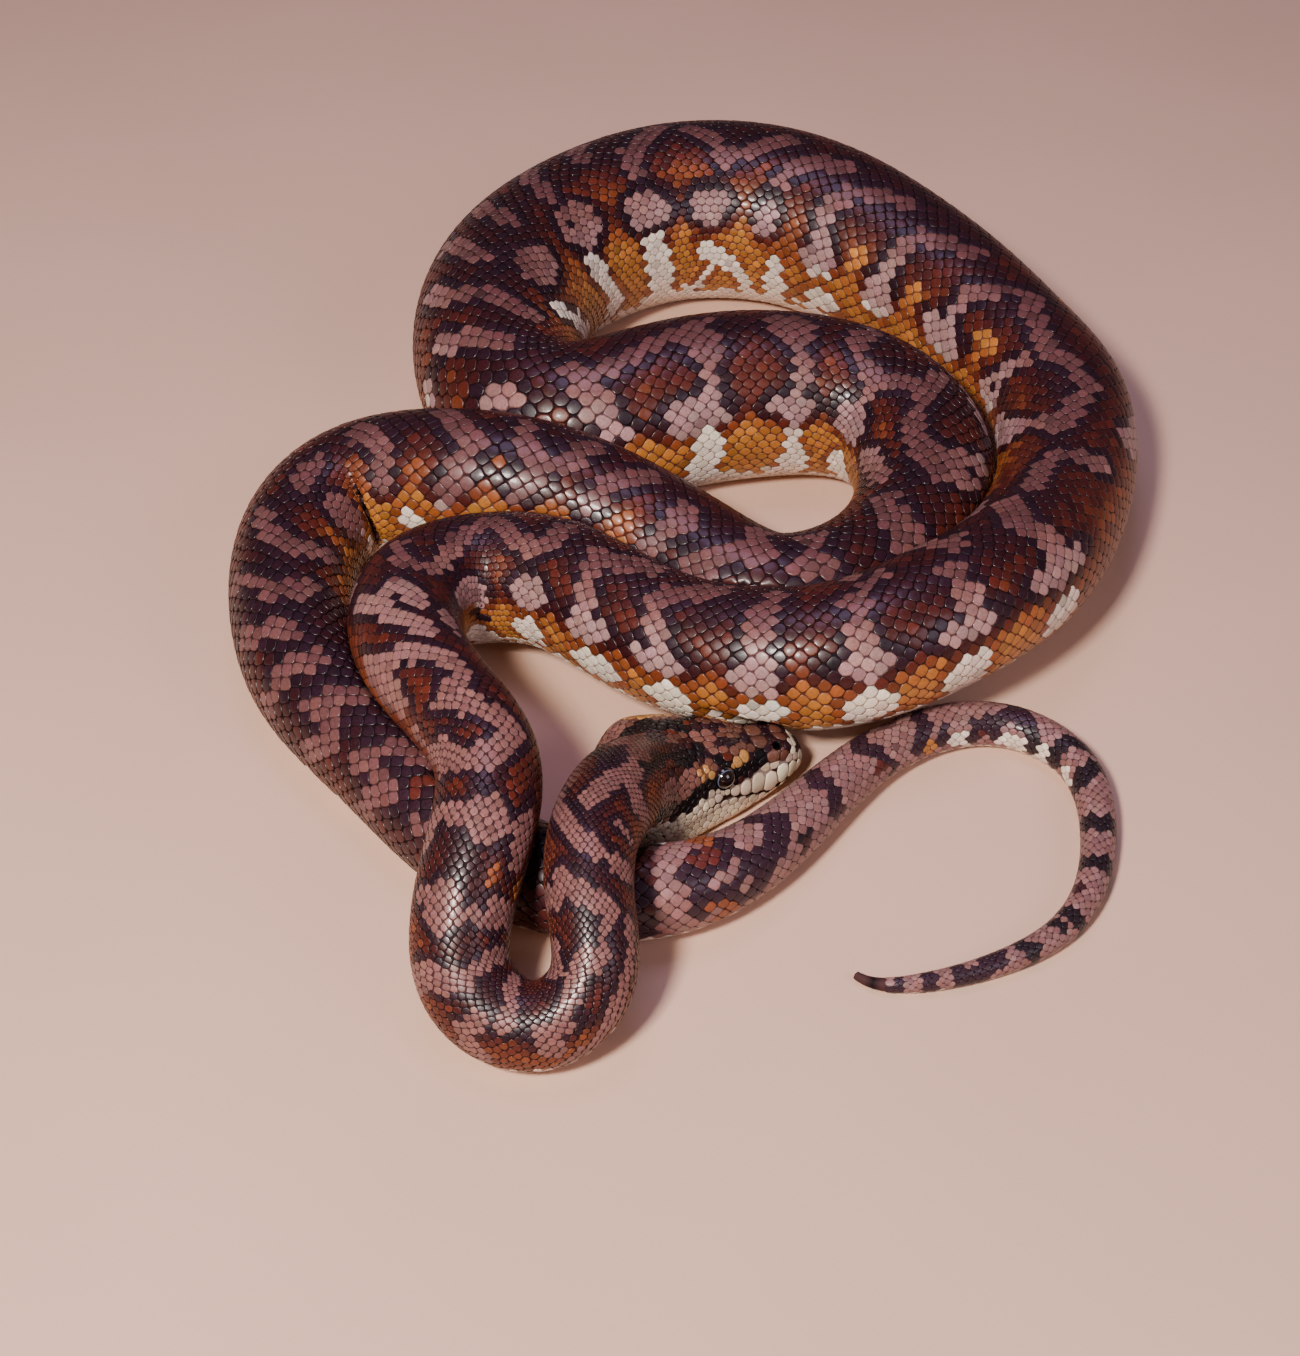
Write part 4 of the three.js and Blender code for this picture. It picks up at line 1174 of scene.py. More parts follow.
class HeadLayout:
    """Seeds of the head: large plates, lips along the mouth, rings round the eyes and nostrils,
    and small scales that fill the rest."""

    END = 81.0  # no head scale grows behind this
    START = 0.6  # nor in front of this
    # Scales that ring an eye or a nostril: how many, the bare rim inside them, and their room.
    RINGS = ((EYE, 14, 0.1, 0.78), (NOSTRIL, 8, 0.4, 0.6))
    TRIES = 32000  # small scales thrown; most find no room
    CLOSEST = 0.82  # two may lie this near, as a share of their rooms together
    RELAX_ROUNDS = 8  # how often they move towards the middle of their room,
    RELAX = 0.7  # and by which share of the way
    WINDOW = 80.0  # the whole head is one window for its cells
    GROOVE = 0.2  # half-width of the bare groove along the mouth
    GROOVE_LINE = (2.0, 54.0, 0.9)  # its first and last bare seed, and their spacing
    SNOUT_TIP = ((1.2, 0.0, 1.6), (1.0, np.pi, 1.4))  # s, turn and room of the front plates
    # Pits of the lips: s, side of the mouth line (-1 above), and distance from it.
    PITS = ((4.7, -1, 3.4), (8.0, -1, 4.4), (12.0, -1, 5.0), (34.6, 1, 1.7), (38.1, 1, 1.8),
            (41.5, 1, 1.7))
    PIT_PARTS = (-0.7, 0.0, 0.7)  # bare seeds across each pit
    PIT_ROOM = 0.3
    # Room of the filling scales at a distance s: on the crown, and on the cheeks.
    CROWN_ROOM = ((0, 12, 24, 40, 52, 62), (1.2, 1.4, 1.25, 1.35, 1.3, 0.85))
    CHEEK_ROOM = ((36, 66, 80), (1.3, 1.25, 0.8))
    CHEEK = (36.0, 40.0, 112.0)  # cheeks lie behind this s, between these turns
    CHIN_ROOM = 1.35  # room under the jaw, past the cheeks' turn

    def __init__(self, surface: Surface) -> None:
        """Finds the mouth line on the outline."""
        self.surface = surface
        rows = surface.s < Surface.HEAD_TO
        half = Surface.ANGLES // 2
        b, _, up = surface.head.coordinates(surface.points[rows, : half + 1].reshape(-1, 3))
        above = (up - through(MOUTH_LINE, b)).reshape(-1, half + 1)
        place = np.array([np.interp(0.0, row[::-1], surface.theta[half::-1]) for row in above])
        self.lip_s, self.lip_theta = surface.s[rows], place

    def lip(self, s: Array) -> Array:
        """Turn of the mouth line at each s, on the left side."""
        return np.interp(s, self.lip_s, self.lip_theta)

    def nearest(self, organ: Organ, side: int) -> tuple[float, float]:
        """The place on the outline nearest to an organ."""
        spot = self.surface.head.place(organ.b, side * organ.out, organ.up)
        rows = self.surface.s < Surface.HEAD_TO
        far = np.linalg.norm(self.surface.points[rows] - spot, axis=2)
        i, j = np.unravel_index(far.argmin(), far.shape)
        return self.surface.s[i], self.surface.theta[j]

    def _lip_arm(self, s: Array) -> Array:
        """Distance of the mouth line from the spine at each s."""
        away = self.surface.place(s, self.lip(s), 0.0) - self.surface.spine.at(s).origin
        return np.linalg.norm(away, axis=-1)

    def plates(self) -> Seeds:
        """The listed plates, lips, eye rings and bare places, on both sides."""
        s, theta, room, kind = [], [], [], []

        def grow(places: Array, turns: Array, rooms: Array, what: Kind) -> None:
            """Adds like seeds to the lists."""
            s.extend(places)
            theta.extend(turns)
            room.extend(np.broadcast_to(rooms, np.shape(places)))
            kind.extend([what.value] * len(places))

        named = numbers(HEAD_PLATES)
        for side in (-1, 1):
            grow(named[:, 0], side * np.radians(-named[:, 1]), named[:, 2], Kind.HEAD)
            for text, out, what in ((UPPER_LIPS, -1, Kind.LIP), (LOWER_LIPS, 1, Kind.JAW)):
                at, tall = numbers(text).T
                turn = self.lip(at) + out * 0.5 * tall / self._lip_arm(at)
                grow(at, side * turn, 0.5 * tall - self.GROOVE, what)
            line = np.arange(*self.GROOVE_LINE)
            grow(line, side * self.lip(line), self.GROOVE, Kind.BARE)
            for place, out, away in self.PITS:
                at = np.full(len(self.PIT_PARTS), place)
                turn = self.lip(at) + out * (away + np.array(self.PIT_PARTS)) / self._lip_arm(at)
                grow(at, side * turn, self.PIT_ROOM, Kind.BARE)
            for organ, ring, rim, gap in self.RINGS:
                at, turn = self.nearest(organ, side)
                centre = np.array([at]), np.array([turn])
                grow(*centre, organ.radius + rim, Kind.BARE)
                angle = np.arange(ring) * 2 * np.pi / ring
                far = organ.radius + rim + gap
                rooted = [np.repeat(part, ring) for part in centre]
                around = self.surface.step(*rooted, far * np.cos(angle), far * np.sin(angle))
                grow(*around, gap, Kind.HEAD)
        grow(*np.array(self.SNOUT_TIP).T, Kind.LIP)
        return Seeds(np.array(s), np.array(theta), np.array(room), np.array(kind))

    def room(self, s: Array, theta: Array) -> Array:
        """Room of the small filling scales: wider on the snout, cheek and chin."""
        turn = np.degrees(np.abs(wrapped(theta)))
        start, low, high = self.CHEEK
        crown, cheek = np.interp(s, *self.CROWN_ROOM), np.interp(s, *self.CHEEK_ROOM)
        size = np.where((turn > low) & (turn < high) & (s > start), cheek, crown)
        return np.where(turn > high, self.CHIN_ROOM, size)

    def seeds(self, rng: np.random.Generator) -> Seeds:
        """The plates, and small scales thrown between them and then evened out."""
        fixed = self.plates()
        s = rng.uniform(self.START, self.END, self.TRIES)
        theta = rng.uniform(-np.pi, np.pi, self.TRIES)
        inside = s < head_end(theta)
        s, theta = s[inside], theta[inside]
        spots = self.surface.place(s, theta, 0.0)
        rooms = self.room(s, theta)
        held = self.surface.place(fixed.s, fixed.theta, 0.0)
        first = count = len(held)
        taken = np.zeros((first + len(s), 4))  # places and rooms so far, one row for each
        taken[:first, :3], taken[:first, 3] = held, fixed.room
        kept = []
        for i, (spot, room) in enumerate(zip(spots, rooms)):
            far = np.linalg.norm(taken[:count, :3] - spot, axis=1)
            if (far > self.CLOSEST * (taken[:count, 3] + room)).all():
                taken[count, :3], taken[count, 3] = spot, room
                count += 1
                kept.append(i)
        kind = np.where(np.abs(wrapped(theta)) > self.lip(s), Kind.JAW.value, Kind.HEAD.value)
        loose = Seeds(s, theta, rooms, kind).taken(np.array(kept))
        for _ in range(self.RELAX_ROUNDS):
            both = Seeds.joined(fixed, loose)
            x, y = Cells(self.surface, both, self.WINDOW).centroids()
            s, theta = self.surface.step(both.s, both.theta, self.RELAX * x, self.RELAX * y)
            loose.s = np.clip(s[first:], self.START, head_end(loose.theta))
            loose.theta = theta[first:]
        return Seeds.joined(fixed, loose)


# ---------- the room each scale fills
class Cells:
    """The outline of every scale: as far as the middle between it and each neighbour.

    Seen from a root, the middle towards a neighbour at the offset q lies, in the direction d, at
    (q q + own room^2 - neighbour's room^2) / (2 q d). The outline is a soft smallest of these,
    which rounds its corners.
    """

    DIRECTIONS = 12  # corners of an outline
    SOFTNESS = 9  # the higher, the sharper the corners
    REACH_ALONG = 11.0  # neighbours lie this near along the spine,
    NEAR_SQUARE = (1e-4, 160)  # between these squares of distance,
    FACING = 0.1  # and on a skin that looks the same way, by this cosine
    MOST = 6.5  # most reach of a head scale
    LEAST_MIDDLE = 0.15  # the middle lies at least this share of the way
    CAP = (0.74, 1.45)  # most reach of a body scale, in pitches along and rows across

    def __init__(self, surface: Surface, seeds: Seeds, window: float = 16.0) -> None:
        """Works out the outlines window by window along the animal."""
        self.surface = surface
        self.seeds = seeds
        self.centre = surface.place(seeds.s, seeds.theta, 0.0)
        self.along, self.across, self.normal = surface.axes(seeds.s, seeds.theta)
        angle = np.arange(self.DIRECTIONS) * 2 * np.pi / self.DIRECTIONS
        self.angle = angle
        self.radius = np.zeros((len(seeds.s), self.DIRECTIONS))
        body = seeds.kind == Kind.BODY.value
        long = np.where(body, self.CAP[0] * pitch_at(seeds.s), self.MOST)
        wide = np.where(body, self.CAP[1] * row_at(seeds.s), self.MOST)
        cap = 1 / np.hypot(np.cos(angle) / long[:, None], np.sin(angle) / wide[:, None])
        reach = self.REACH_ALONG
        for start in np.arange(seeds.s.min(), seeds.s.max() + window, window):
            mine = np.flatnonzero((seeds.s >= start) & (seeds.s < start + window))
            if len(mine) == 0:
                continue
            near = np.flatnonzero((seeds.s > start - reach) & (seeds.s < start + window + reach))
            self.radius[mine] = np.minimum(self._outline(mine, near), cap[mine])

    def _outline(self, mine: Array, near: Array) -> Array:
        """Outline radii of some scales among their neighbours."""
        away = (self.centre[near][None] - self.centre[mine][:, None]).astype(np.float32)
        x = np.einsum("mnk,mk->mn", away, self.along[mine].astype(np.float32))
        y = np.einsum("mnk,mk->mn", away, self.across[mine].astype(np.float32))
        square = (away**2).sum(2)
        facing = self.normal[mine].astype(np.float32) @ self.normal[near].astype(np.float32).T
        low, high = self.NEAR_SQUARE
        used = (square > low) & (square < high) & (facing > self.FACING)
        room = self.seeds.room.astype(np.float32) ** 2
        middle = (square + room[mine][:, None] - room[near][None]) / 2
        middle = np.maximum(middle, self.LEAST_MIDDLE * np.sqrt(np.maximum(square, 1e-6)))
        total = np.full((len(mine), self.DIRECTIONS), self.MOST ** -self.SOFTNESS, np.float32)
        for k, turn in enumerate(self.angle):
            toward = x * np.float32(math.cos(turn)) + y * np.float32(math.sin(turn))
            limit = np.where(used & (toward > 1e-3), toward / middle, 0)
            total[:, k] += (limit**self.SOFTNESS).sum(1)
        return total ** (-1 / self.SOFTNESS)

    def centroids(self) -> tuple[Array, Array]:
        """Centre of each outline, from its root, along and across."""
        x = self.radius * np.cos(self.angle)
        y = self.radius * np.sin(self.angle)
        x2, y2 = np.roll(x, -1, 1), np.roll(y, -1, 1)
        cross = x * y2 - x2 * y
        area = np.maximum(cross.sum(1), 1e-6)
        return ((x + x2) * cross).sum(1) / (3 * area), ((y + y2) * cross).sum(1) / (3 * area)


# ---------- meshes from arrays
@dataclass
class Mesh:
    """A mesh in the making: points in millimetres, faces, colours and the bake's map."""

    points: Array
    faces: Array
    pigment: Array
    unwrap: Array | None = None

    def made(self, name: str, material: bpy.types.Material) -> bpy.types.Object:
        """The finished object, at the origin, with smooth faces and its colours.

        Args:
            name: the piece's name.
            material: its finish.

        Returns:
            The new object, linked to the scene.
        """
        sides = self.faces.shape[1]
        mesh = bpy.data.meshes.new(name)
        mesh.vertices.add(len(self.points))
        mesh.vertices.foreach_set("co", (self.points * MM).astype(np.float32).ravel())
        mesh.loops.add(self.faces.size)
        mesh.loops.foreach_set("vertex_index", self.faces.astype(np.int32).ravel())
        mesh.polygons.add(len(self.faces))
        starts = np.arange(len(self.faces), dtype=np.int32) * sides
        mesh.polygons.foreach_set("loop_start", starts)
        mesh.polygons.foreach_set("use_smooth", np.ones(len(self.faces), bool))
        mesh.update(calc_edges=True)
        colour = mesh.color_attributes.new("pigment", "FLOAT_COLOR", "POINT")
        rgba = np.concatenate([self.pigment, np.ones((len(self.pigment), 1))], 1)
        colour.data.foreach_set("color", rgba.astype(np.float32).ravel())
        if self.unwrap is not None:
            layer = mesh.uv_layers.new(name="OFBake")
            corners = self.unwrap[self.faces.ravel()]
            layer.uv.foreach_set("vector", corners.astype(np.float32).ravel())
        mesh.materials.append(material)
        obj = bpy.data.objects.new(name, mesh)
        bpy.context.scene.collection.objects.link(obj)
        return obj


def quads(rows: int, columns: int, wraps: bool) -> Array:
    """Quads between a grid's points, which lie row by row, facing the same way round."""
    across = np.arange(columns if wraps else columns - 1)
    next_one = (across + 1) % columns
    first = np.arange(rows - 1)[:, None] * columns
    return np.stack(
        [first + across, first + next_one, first + columns + next_one, first + columns + across], -1
    ).reshape(-1, 4)


def fan(tip: int, ring: Array) -> Array:
    """Triangles from a tip to each side of a closed ring of points."""
    return np.stack([np.full_like(ring, tip), ring, np.roll(ring, -1)], 1)


def onto_map(x: Array, low: float, high: float) -> Array:
    """Place on the bake's map, from 0.01 to 0.99, of x between low and high."""
    return 0.01 + 0.98 * (x - low) / (high - low)


# ---------- the coat of scales
@dataclass(frozen=True)
class ScaleForm:
    """How a kind of scale stands up from the skin.

    base, dome and tilt are its edge, crown and raised hind edge, in millimetres for a scale of
    radius size; gap is the strip of skin left round it.
    """

    size: float
    base: float
    dome: float
    tilt: float
    gap: float
    overlap: float = 0.0  # how much further the hind half reaches

    def small(self, radius: Array) -> Array:
        """How thick a scale of this radius is, as a share of the form's own."""
        return np.clip(radius / self.size, 0.3, 1.2)

    def heights(self, radius: Array, share: float, lean: Array) -> Array:
        """Height above the skin at a share of the way to the outline, lean being -1 to 1."""
        crown = self.dome * (1 - share**2)
        return self.small(radius) * (self.base + crown + self.tilt * share * lean)


FORMS = {
    Kind.BODY: ScaleForm(size=2.4, base=0.19, dome=0.12, tilt=0.14, gap=0.09, overlap=0.15),
    Kind.HEAD: ScaleForm(size=2.0, base=0.17, dome=0.13, tilt=0.03, gap=0.07),
    Kind.LIP: ScaleForm(size=2.4, base=0.22, dome=0.26, tilt=0.03, gap=0.09),
    Kind.JAW: ScaleForm(size=2.2, base=0.16, dome=0.15, tilt=0.03, gap=0.08),
}
# Colours, skin colours and fullness of the ladder's tones: dark and golden scales are fuller, with
# more skin round them, than the flat pale ones.
MAIN = np.array([linear(t.value[0]) for t in Tone])
AROUND = np.array([linear(t.value[1]) for t in Tone])
FULLNESS = np.array([[t.value[2]] for t in Tone])


class Coat:
    """All the scales, as closed plates draped over the outline."""

    SEED = 11  # of the scales' own tones and shades
    SHARES = (0.8, 1.0)  # rings of the crown, as shares of the way to the edge
    ROOT = -0.25  # the plate's foot lies this far below the skin
    FULL_FROM = 1.5  # dark and golden scales fuller than this lie further apart,
    FULL_GAP = 2.0  # with so many times the gap
    LEAST_RADIUS = 0.35  # of what a scale has room for
    STAINS = (0.0, 0.04, 0.42, 1.0)  # skin's share in the colour: middle, crown, edge, foot
    PATCH = 0.003  # width of a scale's patch on the bake's map
    VARIATION = 0.14  # how the shades of single scales vary,
    TINTS = 0.03  # and their tints
    PIGMENT_LIMITS = (0.002, 0.95)
    BLOOM = ("#6c4a5c", 0.08)  # violet cast of the tail's scales, and its share
    BLOOM_AT = (1600, 220)  # where it begins, and how long it takes
    HEAD_CAST = np.array([1.0, 0.97, 0.82])  # the head's colours are yellower than the body's
    CAST_FADE = (100, 40)  # the cast ends here, fading over this length
    LONGEST = 1.1  # a scale reaches no further than this many pitches of spine
    WIDEST = 0.45  # nor this many radians about it

    def __init__(self, surface: Surface, markings: Markings, seeds: Seeds) -> None:
        """Works out outlines, tones and colours of all the scales."""
        self.surface = surface
        self.seeds = seeds
        self.cells = Cells(surface, seeds)
        rng = np.random.default_rng(self.SEED)
        rough = rng.uniform(-1, 1, len(seeds.s))
        tone = markings.tones(seeds.s, seeds.theta, pitch_at(seeds.s), rough)
        self.rates = surface.rates(seeds.s, seeds.theta)
        shades = 1 + self.VARIATION * rng.normal(0, 1, (len(seeds.s), 1))
        tint = 1 + self.TINTS * rng.normal(0, 1, (len(seeds.s), 3))
        main = np.clip(on_ladder(MAIN, tone) * shades * tint, *self.PIGMENT_LIMITS)
        bloom = self.BLOOM[1] * ramp(seeds.s, *self.BLOOM_AT)[:, None]
        end, length = self.CAST_FADE
        cast = 1 - (1 - self.HEAD_CAST) * smooth((end - seeds.s) / length)[:, None]
        self.main = (main * (1 - bloom) + linear(self.BLOOM[0]) * bloom) * cast
        self.around = on_ladder(AROUND, tone)
        self.full = on_ladder(FULLNESS, tone)[:, 0]

    def chosen(self, kind: Kind, start: float, end: float) -> Array:
        """Indices of the scales of a kind on a stretch of the animal."""
        wanted = self.seeds.kind == kind.value
        return np.flatnonzero(wanted & (self.seeds.s >= start) & (self.seeds.s < end))

    def mesh(self, kind: Kind, scales: Array, fine: bool) -> Mesh:
        """Closed plates for the scales: a crown, a shoulder, an edge, a foot and a base.

        Args:
            kind: their kind, which sets their form.
            scales: which scales to make.
            fine: twelve corners each, or six on tiny ones.

        Returns:
            All the plates joined.
        """
        form = FORMS[kind]
        step = 1 if fine else 2
        angle = self.cells.angle[::step]
        corners = len(angle)
        radius = self.cells.radius[scales][:, ::step]
        mean = radius.mean(1)[:, None]
        full = self.full[scales][:, None]
        small = form.small(mean)
        gap = form.gap * np.where(full > self.FULL_FROM, self.FULL_GAP, 1.0) * small
        radius = np.maximum(radius - gap, self.LEAST_RADIUS * mean)
        x = radius * np.cos(angle)
        x = np.where(x > 0, x * (1 + form.overlap), x)
        y = radius * np.sin(angle)
        long = np.maximum(np.abs(x).max(1), 1e-3)[:, None]
        zero = np.zeros((len(scales), 1))
        rings = [(zero, zero, small * form.base + small * form.dome * full)]
        for share in self.SHARES:
            lean = share * x / long
            height = form.heights(mean, share, lean)
            flat = form.heights(mean, 1.0, lean)
            rings.append((share * x, share * y, flat + (height - flat) * full))
        rings.append((x, y, np.full_like(x, self.ROOT) * small))
        rx, ry, height = [np.concatenate(values, 1) for values in zip(*rings)]
        points = self._draped(scales, rx, ry, height)
        faces = self._faces(len(scales), corners)
        stain = np.repeat(self.STAINS, [1, corners, corners, corners])[None, :, None]
        pigment = self.main[scales][:, None] * (1 - stain) + self.around[scales][:, None] * stain
        unwrap = self._unwrap(scales, rx / long, ry / long)
        flat = [grid.reshape(-1, grid.shape[-1]) for grid in (points, pigment, unwrap)]
        return Mesh(flat[0], faces, *flat[1:])

    def _draped(self, scales: Array, x: Array, y: Array, height: Array) -> Array:
        """Points x along, y across and height above the skin from each scale's root."""
        s, theta, rate = self.seeds.s[scales], self.seeds.theta[scales], self.rates[scales]
        most = self.LONGEST * pitch_at(s)[:, None]
        at = s[:, None] + np.clip(x * rate[:, :1] + y * rate[:, 1:2], -most, most)
        turn = theta[:, None] + np.clip(y * rate[:, 2:], -self.WIDEST, self.WIDEST)
        at = np.clip(at, 0.0, LENGTH - TIP_LEFT)
        points = self.surface.place(at, turn, height - coat_depth(at))
        points[..., 2] = np.maximum(points[..., 2], FLOOR_CLEAR)
        return points

    @staticmethod
    def _faces(count: int, corners: int) -> Array:
        """Triangles of each plate: fan, two bands to the edge, a wall down, and the base."""
        k = np.arange(corners)
        n = (k + 1) % corners
        faces = [fan(0, 1 + k)]
        for ring in range(2):
            a = 1 + ring * corners
            b = a + corners
            faces.append(np.stack([a + k, b + k, b + n], 1))
            faces.append(np.stack([a + k, b + n, a + n], 1))
        last = 1 + 2 * corners
        base = np.stack([np.full(corners - 2, last), last + n[1:-1], last + k[1:-1]], 1)
        one = np.concatenate([*faces, base])
        per = 1 + 3 * corners
        return (one[None] + np.arange(count)[:, None, None] * per).reshape(-1, 3)

    def _unwrap(self, scales: Array, x: Array, y: Array) -> Array:
        """Each scale's small patch at its root's place on the unrolled skin.

        The stretch is unrolled with s across and the turn upwards, both from 0.01 to 0.99.
        """
        s, theta = self.seeds.s[scales], self.seeds.theta[scales]
        u = onto_map(s, s.min(), s.max() + 1e-6)
        v = onto_map(np.mod(theta + np.pi, 2 * np.pi), 0.0, 2 * np.pi)
        half = self.PATCH / 2
        return np.stack([u[:, None] + half * x, v[:, None] + half * y], -1)


# Share of the coat's depth at a distance s.
DEPTH_SHARES = ((0, 60, 250, 400, 1800, 1950, 2085), (0.6, 0.6, 0.75, 1, 1, 0.6, 0.3))


def coat_depth(s: Array) -> Array:
    """How far inside the outline the skin lies: less on the head, neck and tail."""
    return COAT_DEPTH * np.interp(s, *DEPTH_SHARES)


@dataclass(frozen=True)
class BellyPlates:
    """Broad plates across the belly, each lying over the next like tiles."""

    start: float = 92.0
    end: float = 2066.0
    pitch: float = 1.05  # spacing, in pitches of the scales beside them
    overlap: float = 0.3  # how much longer than their spacing they are
    rows: int = 3  # points along a plate
    columns: int = 9  # points across it
    lift: tuple[float, float] = (0.1, 0.45)  # of the front edge and the hind edge off the skin
    root: float = -0.2  # and of the underside
    tuck: float = 0.04  # radians by which the ends go under the scales
    shade: float = 0.05  # how the plates' shades vary
    seed: int = 5

    def mesh(self, surface: Surface) -> Mesh:
        """All the plates joined, each a thin closed shell."""
        places = [self.start]
        while places[-1] < self.end:
            places.append(places[-1] + self.pitch * float(pitch_at(np.array(places[-1]))))
        s0 = np.array(places)
        long = self.pitch * pitch_at(s0) * (1 + self.overlap)
        along = np.linspace(0, 1, self.rows)
        edge = VENTRAL_FROM - self.tuck
        turn = np.linspace(edge, 2 * np.pi - edge, self.columns)
        at = np.clip(s0[:, None] + along * long[:, None], 0, LENGTH - TIP_LEFT)
        height = self.lift[0] + (self.lift[1] - self.lift[0]) * along
        shells = []
        for out in (height, np.full(self.rows, self.root)):
            s = np.repeat(at[:, :, None], self.columns, 2)
            theta = np.broadcast_to(turn, s.shape)
            lift = np.broadcast_to(out[None, :, None], s.shape) - coat_depth(s)
            shells.append(surface.place(s, theta, lift))
        points = np.stack(shells, 1)
        points[..., 2] = np.maximum(points[..., 2], FLOOR_CLEAR)
        per = self.rows * self.columns
        top = quads(self.rows, self.columns, False)
        bottom = top[:, ::-1] + per
        grid = np.arange(per).reshape(self.rows, self.columns)
        rim = np.concatenate([grid[0], grid[1:, -1], grid[-1, -2::-1], grid[-2:0:-1, 0]])
        turned = np.roll(rim, -1)
        wall = np.stack([turned, rim, rim + per, turned + per], 1)
        one = np.concatenate([top, bottom, wall])
        faces = (one[None] + (np.arange(len(s0)) * 2 * per)[:, None, None]).reshape(-1, 4)
        varied = np.random.default_rng(self.seed).normal(0, 1, (len(s0), 1, 1))
        shade = 1 + self.shade * varied
        colour = linear(Tone.CREAM.value[0]) * shade
        pigment = np.broadcast_to(colour, (len(s0), 2 * per, 3)).reshape(-1, 3)
        u = onto_map(at, at.min(), at.max())
        v = np.linspace(0.01, 0.99, self.columns)
        v = np.broadcast_to(v, (len(s0), self.rows, self.columns))
        flat = np.stack([np.broadcast_to(u[:, :, None], v.shape), v], -1)
        unwrap = np.stack([flat, flat], 1).reshape(-1, 2)
        return Mesh(points.reshape(-1, 3), faces, pigment, unwrap)


